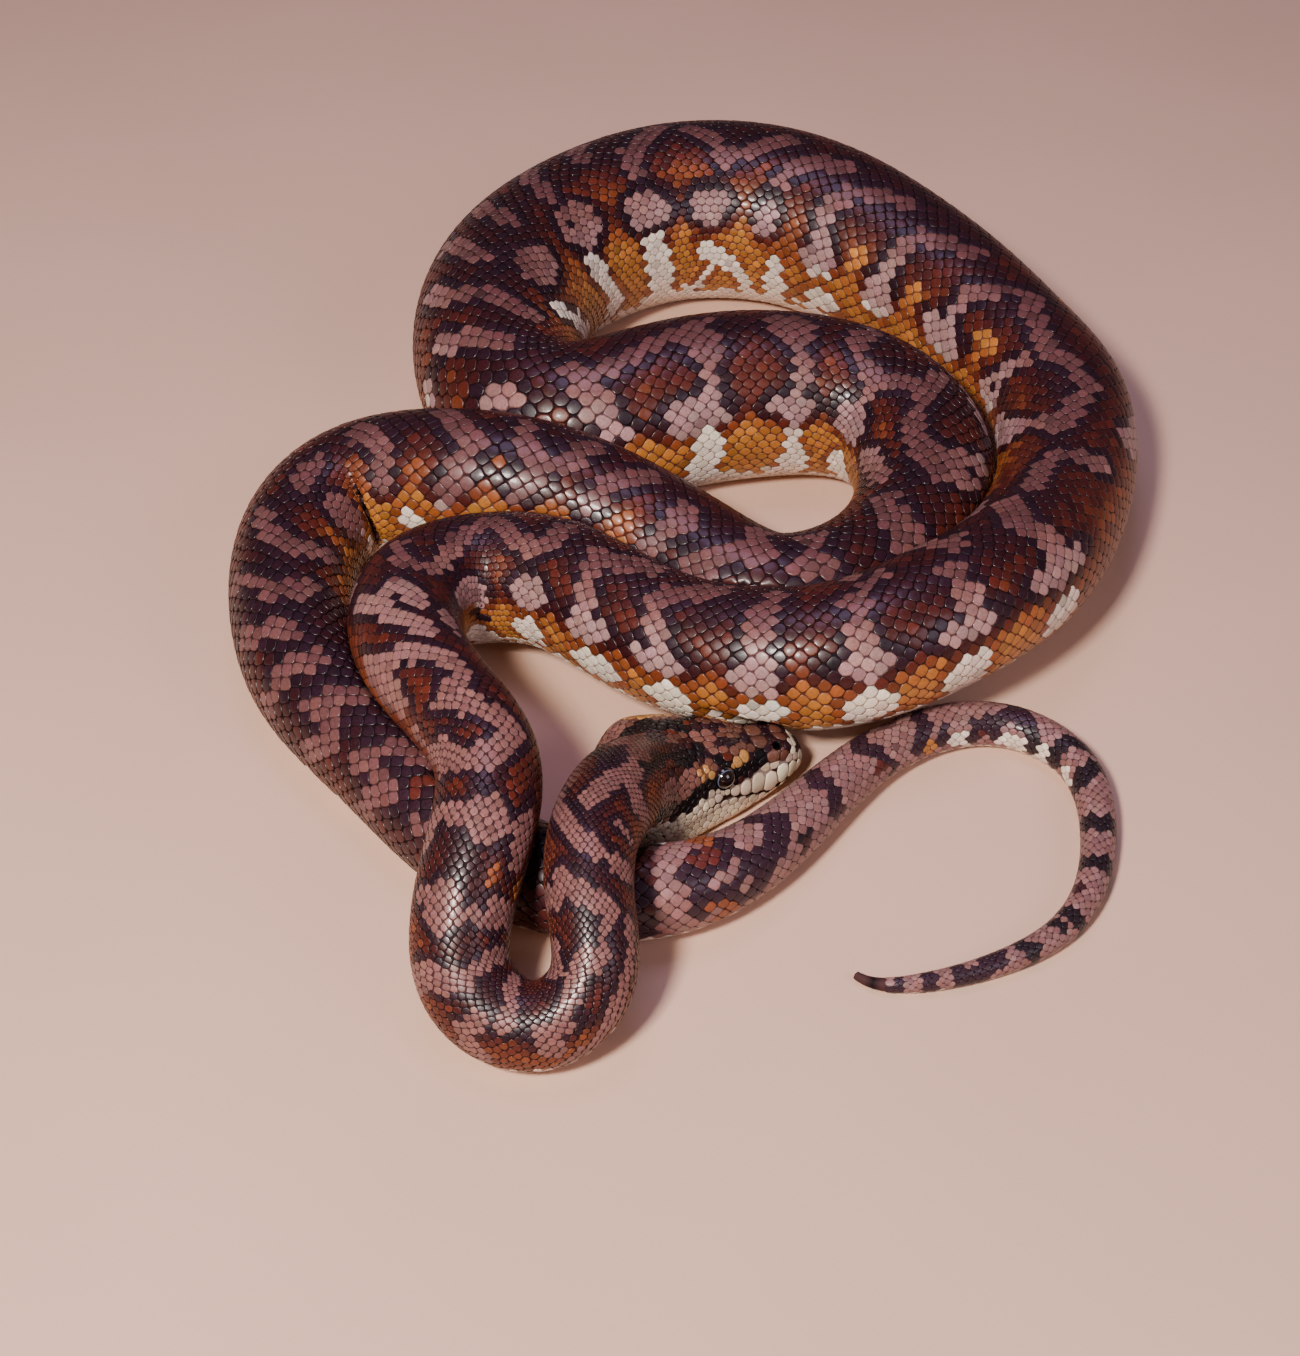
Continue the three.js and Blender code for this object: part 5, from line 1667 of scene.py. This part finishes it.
# ---------- the skin
class Skin:
    """One closed skin from the snout to the tip of the tail, with its mouth, eyes and nostrils."""

    SEED = 3
    HEAD_STEP = 0.6  # between the rings of the head
    BODY_STEP = 2.4  # and of the rest
    SIDES = 96  # points in each ring
    CAPS = (0.5, 0.8)  # how far the closed ends stand out
    OF_SCALES = 0.12  # the scales' share in the colour of the skin round them
    MOUTH_DEPTH = 0.9  # of the groove between the lips
    MOUTH_HALF = 0.5  # and its half-width
    MOUTH_FADE = (3.0, 6.0)  # it runs out from this far past the corner, over this length
    SOCKET = 3.8 / 3.7  # radius of an organ's hollow, as a share of the organ's
    HOLLOWS = ((EYE, 1.0), (NOSTRIL, 1.7))  # how deep they are, in their own radii
    GROOVE_SHADE = "#2a1512"  # painted shade in the mouth's groove and the snout's pits
    SNOUT_PITS = (2.0, 14.0, 4.0)  # where the snout's pits get painted shade: from and to b, and as high as this
    HOLLOW = 1.75  # how far round an eye or a nostril the skin is painted black, as shade in its hollow
    # painted shade inside the hollows of the eyes and nostrils
    HOLLOW_SHADE = "#070304"

    def __init__(self, surface: Surface, markings: Markings) -> None:
        """Keeps what the skin is shaped and coloured by."""
        self.surface = surface
        self.markings = markings

    def mesh(self) -> Mesh:
        """The skin's rings, joined and closed at both ends."""
        end = LENGTH - 2.0
        s = np.concatenate([
            np.arange(0.0, Surface.HEAD_TO, self.HEAD_STEP),
            np.arange(Surface.HEAD_TO, end, self.BODY_STEP), [end],
        ])
        theta = np.arange(self.SIDES) * 2 * np.pi / self.SIDES
        at, turn = [g.ravel() for g in np.meshgrid(s, theta, indexing="ij")]
        points = self.surface.place(at, turn, -coat_depth(at))
        points = self._mouth_and_sockets(points, at, turn)
        rough = np.random.default_rng(self.SEED).uniform(-1, 1, len(at))
        tone = self.markings.tones(at, turn, pitch_at(at), rough)
        share = self.OF_SCALES
        pigment = share * on_ladder(MAIN, tone) + (1 - share) * on_ladder(AROUND, tone)
        pigment = self._painted_shade(pigment, points, at)
        rings = points.reshape(len(s), self.SIDES, 3)
        front = rings[0].mean(0) - self.surface.head.tangent * self.CAPS[0]
        back = rings[-1].mean(0) + self.surface.spine.tangent[-1] * self.CAPS[1]
        every = np.concatenate([points, front[None], back[None]])
        pigment = np.concatenate([pigment, pigment[:1], pigment[-1:]])
        faces = quads(len(s), self.SIDES, True)[:, ::-1]
        ring = np.arange(self.SIDES)
        first_cap = fan(len(points), ring)[:, [0, 2, 1]]
        last_cap = fan(len(points) + 1, (len(s) - 1) * self.SIDES + ring)
        triangles = [faces[:, [0, 1, 2]], faces[:, [0, 2, 3]], first_cap, last_cap]
        return Mesh(every, np.concatenate(triangles), pigment)

    def _painted_shade(self, pigment: Array, points: Array, s: Array) -> Array:
        """The pigment, with painted shade in the mouth's groove, the pits, the sockets and the
        nostrils.
        """
        front = np.flatnonzero(s < Surface.HEAD_TO)
        head = self.surface.head
        b, out, up = head.coordinates(points[front])
        line = np.abs(up - through(MOUTH_LINE, b)) < 2 * self.MOUTH_HALF
        dark = line & (b < MOUTH_CORNER)
        start, end, top = self.SNOUT_PITS
        pits = (b > start) & (b < end) & (up > 0) & (up < top)
        result = pigment.copy()
        # painted shade in the mouth's groove and the pits
        result[front[dark | pits]] = linear(self.GROOVE_SHADE)
        # the hollows round the eyes and nostrils: painted shade
        for organ in (EYE, NOSTRIL):
            away = np.stack([b - organ.b, np.abs(out) - organ.out, up - organ.up], 1)
            inside = np.linalg.norm(away, axis=1) < self.HOLLOW * organ.radius
            result[front[inside]] = linear(self.HOLLOW_SHADE)
        return result

    def _mouth_and_sockets(self, points: Array, s: Array, theta: Array) -> Array:
        """Draws the skin in along the mouth, behind the eyes and into the nostrils.

        The mouth is a groove whose depth falls off with the square of the distance from the
        mouth line. A socket is a bowl of the eye's own curve.
        """
        head = self.surface.head
        front = s < Surface.HEAD_TO
        out = self.surface.axes(s[front], theta[front])[2]
        place = points[front]
        b, _, up = head.coordinates(place)
        away = (up - through(MOUTH_LINE, b)) / self.MOUTH_HALF
        past, length = self.MOUTH_FADE
        fade = smooth((MOUTH_CORNER + past - b) / length)
        place = place - out * (self.MOUTH_DEPTH * fade * np.exp(-(away**2)))[:, None]
        for organ, deep in self.HOLLOWS:
            for side in (-1, 1):
                centre = head.place(organ.b, side * organ.out, organ.up)
                offset = place - centre
                lift = (offset * out).sum(1)
                wide = np.linalg.norm(offset - out * lift[:, None], axis=1)
                hollow = organ.radius * self.SOCKET
                inside = (wide < hollow) & (np.abs(lift) < 3 * organ.radius)
                bowl = -deep * np.sqrt(np.maximum(hollow**2 - wide**2, 0))
                drop = np.where(inside, np.minimum(bowl - lift, 0), 0)
                place = place + out * drop[:, None]
        result = points.copy()
        result[front] = place
        return result


def ball(rings: int, sides: int) -> tuple[Array, Array]:
    """A ball of radius 1 as points and triangles, its pole towards +Z."""
    polar = np.linspace(0, np.pi, rings + 1)[1:-1]
    turn = np.arange(sides) * 2 * np.pi / sides
    p, r = [g.ravel() for g in np.meshgrid(polar, turn, indexing="ij")]
    points = np.stack([np.sin(p) * np.cos(r), np.sin(p) * np.sin(r), np.cos(p)], 1)
    faces = quads(len(polar), sides, True)
    ring = np.arange(sides)
    top = fan(len(points), ring)
    bottom = fan(len(points) + 1, (len(polar) - 1) * sides + ring)[:, [0, 2, 1]]
    points = np.concatenate([points, [[0, 0, 1], [0, 0, -1]]])
    return points, np.concatenate([faces[:, [0, 2, 1]], faces[:, [0, 3, 2]], top, bottom])


# ---------- the eyes and the nostrils
class NostrilFloor:
    """Painted shade at the bottom of both nostrils: a flat black lens sunk in each hollow of the
    skin.
    """

    WIDE = 1.15  # its width, as a share of the nostril's
    FLAT = 0.3  # its thickness, as a share of its width
    SUNK = 1.15  # how deep its middle lies below the snout's outline
    # black as painted shade: the nostril's depth sends no light back
    SHADE_COLOUR = "#040202"

    def __init__(self, surface: Surface, layout: HeadLayout) -> None:
        """Finds the nostrils' places on the outline."""
        self.surface = surface
        self.layout = layout

    def mesh(self) -> Mesh:
        """Both lenses, each square to the skin at its place."""
        unit_ball, faces = ball(8, 24)
        points = []
        for side in (1, -1):
            s, theta = [np.array([v]) for v in self.layout.nearest(NOSTRIL, side)]
            along, across, out = [axis[0] for axis in self.surface.axes(s, theta)]
            centre = self.surface.place(s, theta, np.array([-self.SUNK]))[0]
            local = unit_ball * self.WIDE * NOSTRIL.radius * np.array([1, 1, self.FLAT])
            points.append(centre + local @ np.stack([along, across, out]))
        count = len(unit_ball)
        every = np.concatenate(points)
        return Mesh(
            every, np.concatenate([faces, faces + count]),
            np.broadcast_to(linear(self.SHADE_COLOUR), every.shape),
        )


class Eye:
    """A python's eye under its clear scale: dark iris, upright slit, and a thin pale rim."""

    RINGS = 40
    SIDES = 56
    LOOK = (1.0, 0.22, -0.18)  # outward, upward and backward parts of where it looks
    BULGE = (0.03, 0.6)  # how much fuller its front is, and how wide that is
    SLIT = (0.42, 1.75)  # half-width and half-height of the pupil
    IRIS_AT = math.radians(46)  # the iris ends at this turn from where it looks,
    RIM_AT = math.radians(60)  # and a thin pale rim lies at this one
    RIM_WIDE = math.radians(1.5)
    IRIS = "#0e0706"
    IRIS_EDGE = "#22130d"
    WHITE_EDGE = "#5a6078"
    PUPIL = "#050304"
    SURROUND = 3  # round the iris the ball is this much lighter than the pupil

    def __init__(self, head: HeadShape, side: int) -> None:
        """Places the eye on one side of the head."""
        self.centre = head.place(EYE.b, side * EYE.out, EYE.up)
        out, up, back = self.LOOK
        self.look = unit(head.left * side * out + head.up * up + head.tangent * back)
        self.back = unit(np.cross(self.look, head.up))
        self.up = np.cross(self.back, self.look)

    def mesh(self) -> Mesh:
        """A ball, a little fuller in front, coloured by the turn from where it looks."""
        unit_ball, faces = ball(self.RINGS, self.SIDES)
        away = np.arccos(np.clip(unit_ball[:, 2:], -1, 1))
        bulge, wide = self.BULGE
        local = unit_ball * EYE.radius * (1 + bulge * np.exp(-((away / wide) ** 2)))
        points = self.centre + local @ np.stack([self.back, self.up, self.look])
        return Mesh(points, faces, self._colours(local))

    def _colours(self, local: Array) -> Array:
        """Slit, iris with a lighter rim of its own, dark surround, and the pale outer rim."""
        away = np.arccos(np.clip(local[:, 2] / np.linalg.norm(local, axis=1), -1, 1))
        slit = np.hypot(local[:, 0] / self.SLIT[0], local[:, 1] / self.SLIT[1]) < 1
        iris = np.clip(away / self.IRIS_AT, 0, 1)[:, None]
        colour = linear(self.IRIS) * (1 - iris**3) + linear(self.IRIS_EDGE) * iris**3
        around = linear(self.PUPIL) * self.SURROUND
        colour = np.where((away > self.IRIS_AT)[:, None], around, colour)
        colour = np.where(slit[:, None] & (local[:, 2:] > 0), linear(self.PUPIL), colour)
        rim = np.abs(away - self.RIM_AT) < self.RIM_WIDE
        return np.where(rim[:, None], linear(self.WHITE_EDGE), colour)


# ---------- finishes
def node(tree: Tree, kind: str, inputs: dict | None = None, **settings: str) -> bpy.types.Node:
    """Adds a node, with its settings, and its inputs given as values or linked sockets."""
    made = tree.nodes.new(kind)
    for name, value in settings.items():
        setattr(made, name, value)
    for name, value in (inputs or {}).items():
        if isinstance(value, Socket):
            tree.links.new(value, made.inputs[name])
        else:
            made.inputs[name].default_value = value
    return made


def noise(tree: Tree, place: Socket, size_mm: float, **more: float) -> Socket:
    """Cloudy noise with features of a real size, as a socket."""
    inputs = {"Vector": place, "Scale": 1 / (size_mm * MM), **more}
    return node(tree, "ShaderNodeTexNoise", inputs).outputs["Fac"]


def emptied(name: str) -> tuple[bpy.types.Material, Tree]:
    """A new material of that name, and its node tree with nothing in it."""
    material = bpy.data.materials.new(name)
    material.use_nodes = True
    material.node_tree.nodes.clear()
    return material, material.node_tree


def coated(tree: Tree, tint: dict, relief: dict, surface: dict) -> None:
    """Ends a finish: a colour whose value varies, a bumpy grain, and the shader's own inputs."""
    colour = node(tree, "ShaderNodeHueSaturation", tint).outputs["Color"]
    normal = node(tree, "ShaderNodeBump", relief).outputs["Normal"]
    inputs = {"Base Color": colour, "Normal": normal, **surface}
    shader = node(tree, "ShaderNodeBsdfPrincipled", inputs)
    node(tree, "ShaderNodeOutputMaterial", {"Surface": shader.outputs["BSDF"]})


@dataclass(frozen=True)
class ScaleFinish:
    """Keratin over pigment: polished by wear, faintly mottled, with a cool film over the dark.

    The eye sees dry scales whose crowns catch small lights, never a wet or even sheet.
    mottle_mm and grain_mm are the sizes of the pigment's specks and of the surface's grain.
    """

    IOR = 1.42  # of keratin
    FILM_IOR = 1.38
    SPECKS = (0.3, 0.7)  # the noise's values that the specks lie between

    name: str
    rough: tuple[float, float]
    mottle_mm: float = 0.9
    mottle: float = 0.2
    grain_mm: float = 0.22
    grain_deep_mm: float = 0.03
    coat: float = 0.12
    coat_rough: float = 0.13
    film_nm: float = 0.0
    shine: float = 0.5

    def made(self) -> bpy.types.Material:
        """The finish as a material that takes its colour from the scales' pigment."""
        material, tree = emptied(self.name)
        pigment = node(tree, "ShaderNodeAttribute", attribute_name="pigment")
        place = node(tree, "ShaderNodeTexCoord").outputs["Object"]
        specks = noise(tree, place, self.mottle_mm, Detail=3.0, Roughness=0.6)
        grain = noise(tree, place, self.grain_mm, Detail=2.0)
        value, rough = [
            node(
                tree, "ShaderNodeMapRange",
                {"Value": specks, "From Min": self.SPECKS[0], "From Max": self.SPECKS[1],
                 "To Min": low, "To Max": high},
            ).outputs["Result"]
            for low, high in ((1 - self.mottle, 1 + self.mottle), self.rough)
        ]
        coated(
            tree,
            {"Color": pigment.outputs["Color"], "Value": value},
            {"Height": grain, "Distance": self.grain_deep_mm * MM, "Strength": 0.5},
            {"Roughness": rough, "IOR": self.IOR, "Specular IOR Level": self.shine,
             "Coat Weight": self.coat, "Coat Roughness": self.coat_rough,
             "Thin Film Thickness": self.film_nm, "Thin Film IOR": self.FILM_IOR},
        )
        return material


# Keratin worn smooth by the ground: satin crowns, and a faint cool play of colour on the dark.
KERATIN_BACK = ScaleFinish("keratin_back_scales", rough=(0.32, 0.46), film_nm=260.0, shine=0.42)
# The same keratin on the skull, without the film: earthy plates, each finely speckled.
KERATIN_HEAD = ScaleFinish(
    "keratin_head_plates", rough=(0.32, 0.46), mottle_mm=0.7, mottle=0.28, shine=0.42
)
# Thicker plates polished by water and prey: clean cream with a soft sheen along their crowns.
KERATIN_LIPS = ScaleFinish("keratin_lip_plates", rough=(0.34, 0.46), mottle=0.07, coat=0.2)
# Broad plates rubbed flat by crawling: the smoothest of the coat, and even in colour.
KERATIN_BELLY = ScaleFinish("keratin_belly_plates", rough=(0.3, 0.42), mottle=0.07)
# Thin folded skin, never polished: dark matt seams that set the scales apart.
SOFT_SKIN = ScaleFinish(
    "soft_skin_between_scales", rough=(0.6, 0.75), mottle=0.1, coat=0.0, grain_deep_mm=0.06,
    shine=0.15,
)
# Painted shade in the depth of the nostril, which no light comes back from: a plain black hole.
NOSTRIL_SHADE = ScaleFinish("nostril_shade", rough=(0.85, 0.95), mottle=0.1, coat=0.0, shine=0.0)
# A clear scale grown over the eye, smooth as glass: one small sharp light in a dark ball.
CLEAR_SCALE = ScaleFinish(
    "clear_eye_scale", rough=(0.08, 0.12), mottle_mm=0.35, mottle=0.12, grain_deep_mm=0.0,
    coat=1.0, coat_rough=0.03,
)


@dataclass(frozen=True)
class Backdrop:
    """A plain pale floor of matt paint, a little uneven in tone as a swept studio floor is."""

    size: float = 6.0
    colour: str = "#d0ab96"
    patch_mm: float = 120.0  # size of the patches,
    patch: float = 0.06  # and how much they differ
    grain_mm: float = 1.2
    grain_deep_mm: float = 0.2

    def made(self) -> bpy.types.Object:
        """The floor plane."""
        mesh = bpy.data.meshes.new("floor")
        half = self.size / 2
        corners = [(-half, -half, 0), (half, -half, 0), (half, half, 0), (-half, half, 0)]
        mesh.from_pydata(corners, [], [(0, 1, 2, 3)])
        mesh.materials.append(self._paint())
        floor = bpy.data.objects.new("floor", mesh)
        bpy.context.scene.collection.objects.link(floor)
        return floor

    def _paint(self) -> bpy.types.Material:
        """Matt paint: broad faint patches in the colour, and a fine even grain."""
        material, tree = emptied("matt_floor_paint")
        place = node(tree, "ShaderNodeTexCoord").outputs["Object"]
        patch = noise(tree, place, self.patch_mm)
        grain = noise(tree, place, self.grain_mm)
        limits = {"Value": patch, "To Min": 1 - self.patch, "To Max": 1 + self.patch}
        value = node(tree, "ShaderNodeMapRange", limits)
        coated(
            tree,
            {"Color": (*linear(self.colour), 1.0), "Value": value.outputs["Result"]},
            {"Height": grain, "Distance": self.grain_deep_mm * MM, "Strength": 0.25},
            {"Roughness": 0.85},
        )
        return material


# ---------- the studio
def set_up(name: str, data: bpy.types.ID, place: tuple, target: tuple) -> bpy.types.Object:
    """A new camera or light at a place, turned to a target, linked to the scene."""
    obj = bpy.data.objects.new(name, data)
    obj.location = place
    look = Vector(target) - Vector(place)
    obj.rotation_euler = look.to_track_quat("-Z", "Y").to_euler()
    bpy.context.scene.collection.objects.link(obj)
    return obj


@dataclass(frozen=True)
class Softbox:
    """A square soft light that looks at the animal; place and size are in metres."""

    name: str
    place: tuple[float, float, float]
    size: float
    watts: float
    colour: str = "#ffffff"

    def made(self) -> bpy.types.Object:
        """The light, turned to the middle of the animal."""
        lamp = bpy.data.lights.new(self.name, "AREA")
        lamp.size = self.size
        lamp.energy = self.watts
        lamp.color = tuple(linear(self.colour))
        return set_up(self.name, lamp, self.place, (0.0, 0.0, 0.0))


@dataclass(frozen=True)
class Studio:
    """The camera, the lights and the floor."""

    camera: tuple[float, float, float] = (-0.017, -0.6069, 0.4952)
    target: tuple[float, float, float] = (-0.017, -0.057, 0.0)
    focal_px: float = 2200.0
    frame_px: tuple[int, int] = (1300, 1356)
    sensor_mm: float = 36.0
    near: float = 0.01  # nothing nearer to the camera is drawn
    world: float = 0.085  # strength of the light from all round,
    world_colour: tuple[float, ...] = (1.0, 0.8, 0.92, 1.0)  # which is a little rosy

    # A small warm key that draws the shadows, a cool one from above, and a weak fill.
    LIGHTS = (
        Softbox("key", (-0.34, -0.72, 0.84), 0.15, 21.0, "#fff4ea"),
        Softbox("top", (-0.1, 0.25, 1.5), 0.6, 6.0, "#e0c8ff"),
        Softbox("fill", (0.9, -0.8, 0.8), 0.6, 4.5, "#f4ecff"),
    )

    def build(self) -> None:
        """Sets the studio up."""
        view = bpy.data.cameras.new("camera")
        view.sensor_fit = "AUTO"
        view.sensor_width = self.sensor_mm
        view.lens = self.focal_px * self.sensor_mm / max(self.frame_px)
        view.clip_start = self.near
        bpy.context.scene.camera = set_up("camera", view, self.camera, self.target)
        for light in self.LIGHTS:
            light.made()
        Backdrop().made()
        world = bpy.data.worlds.new("studio")
        world.use_nodes = True
        glow = world.node_tree.nodes["Background"]
        glow.inputs["Color"].default_value = self.world_colour
        glow.inputs["Strength"].default_value = self.world
        bpy.context.scene.world = world


# ---------- the whole animal
class Python:
    """The animal's pieces: coat, belly plates, skin, nostril floors and eyes."""

    SEED = 20
    # Name of the coat's piece, kind of its scales, the stretch it covers, and its material slot.
    COAT = (
        ("head_scales", Kind.HEAD, 0, 90, KERATIN_HEAD, "crown_scales"),
        ("upper_lip_scales", Kind.LIP, 0, 90, KERATIN_LIPS, "lip_scales"),
        ("jaw_scales", Kind.JAW, 0, 90, KERATIN_LIPS, "lip_scales"),
        ("neck_scales_1", Kind.BODY, 0, 150, KERATIN_BACK, "neck_scales"),
        ("neck_scales_2", Kind.BODY, 150, 286, KERATIN_BACK, "neck_scales"),
        ("trunk_scales_1", Kind.BODY, 286, 560, KERATIN_BACK, "body_scales"),
        ("trunk_scales_2", Kind.BODY, 560, 800, KERATIN_BACK, "body_scales"),
        ("trunk_scales_3", Kind.BODY, 800, 985, KERATIN_BACK, "body_scales"),
        ("trunk_scales_4", Kind.BODY, 985, 1180, KERATIN_BACK, "body_scales"),
        ("trunk_scales_5", Kind.BODY, 1180, 1430, KERATIN_BACK, "body_scales"),
        ("trunk_scales_6", Kind.BODY, 1430, 1792, KERATIN_BACK, "body_scales"),
        ("tail_scales", Kind.BODY, 1792, 2090, KERATIN_BACK, "tail_scales"),
    )
    TINY_TO = 215.0  # scales nearer the head than this are small and simpler
    APART = 0.4  # roots nearer than this share of their rooms are thinned out
    APART_STEPS = 260  # and each is compared with so many that follow it

    def build(self) -> None:
        """Makes every piece, and says what it rides on."""
        surface = Surface(Spine(WAYPOINTS))
        log.info("outline done")
        markings = Markings(self.SEED)
        layout = HeadLayout(surface)
        rng = np.random.default_rng(self.SEED)
        seeds = Seeds.joined(layout.seeds(rng), RowLayout().seeds(rng)).in_order()
        seeds = seeds.taken(self._apart(surface, seeds))
        log.info("%d seeds", len(seeds.s))
        coat = Coat(surface, markings, seeds)
        log.info("coat laid out")
        finishes = {}
        for name, kind, start, end, finish, slot in self.COAT:
            if finish.name not in finishes:
                finishes[finish.name] = finish.made()
            scales = coat.chosen(kind, start, end)
            mesh = coat.mesh(kind, scales, start >= self.TINY_TO or kind is not Kind.BODY)
            self._finish_piece(mesh.made(name, finishes[finish.name]), slot)
            log.info("%s: %d scales, %d triangles", name, len(scales), len(mesh.faces))
        belly = BellyPlates().mesh(surface).made("belly_plates", KERATIN_BELLY.made())
        self._finish_piece(belly, "body_scales")
        skin = Skin(surface, markings).mesh().made("skin", SOFT_SKIN.made())
        flesh = [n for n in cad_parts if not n.startswith("eye")]
        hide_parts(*flesh)
        self._finish_piece(skin, "body_scales")
        floors = NostrilFloor(surface, layout).mesh().made("nostril_shade_floors", NOSTRIL_SHADE.made())
        self._finish_piece(floors, "body_scales")
        clear = CLEAR_SCALE.made()
        for side, name in ((1, "left"), (-1, "right")):
            eye = Eye(surface.head, side).mesh().made(f"eyeball_{name}", clear)
            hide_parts(f"eye_{name}")
            self._finish_piece(eye, "eye")

    def _apart(self, surface: Surface, seeds: Seeds) -> Array:
        """Leaves out seeds that lie almost on another, as in the crease of a tight bend."""
        centre = surface.place(seeds.s, seeds.theta, 0.0)
        keep = np.ones(len(seeds.s), bool)
        for step in range(1, self.APART_STEPS):
            near = np.linalg.norm(centre[step:] - centre[:-step], axis=1)
            close = near < self.APART * (seeds.room[step:] + seeds.room[:-step])
            later = np.flatnonzero(close & keep[:-step]) + step
            keep[later[seeds.kind[later] != Kind.BARE.value]] = False
        return np.flatnonzero(keep)

    @staticmethod
    def _finish_piece(piece: bpy.types.Object, slot: str) -> None:
        """The piece rides on the one body."""
        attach(piece, "root")


def main() -> None:
    """Builds the studio and the animal."""
    logging.basicConfig(level=logging.INFO, format="%(relativeCreated)d ms %(message)s")
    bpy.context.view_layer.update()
    Studio().build()
    Python().build()
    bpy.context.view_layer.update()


if __name__ == "__main__":
    main()
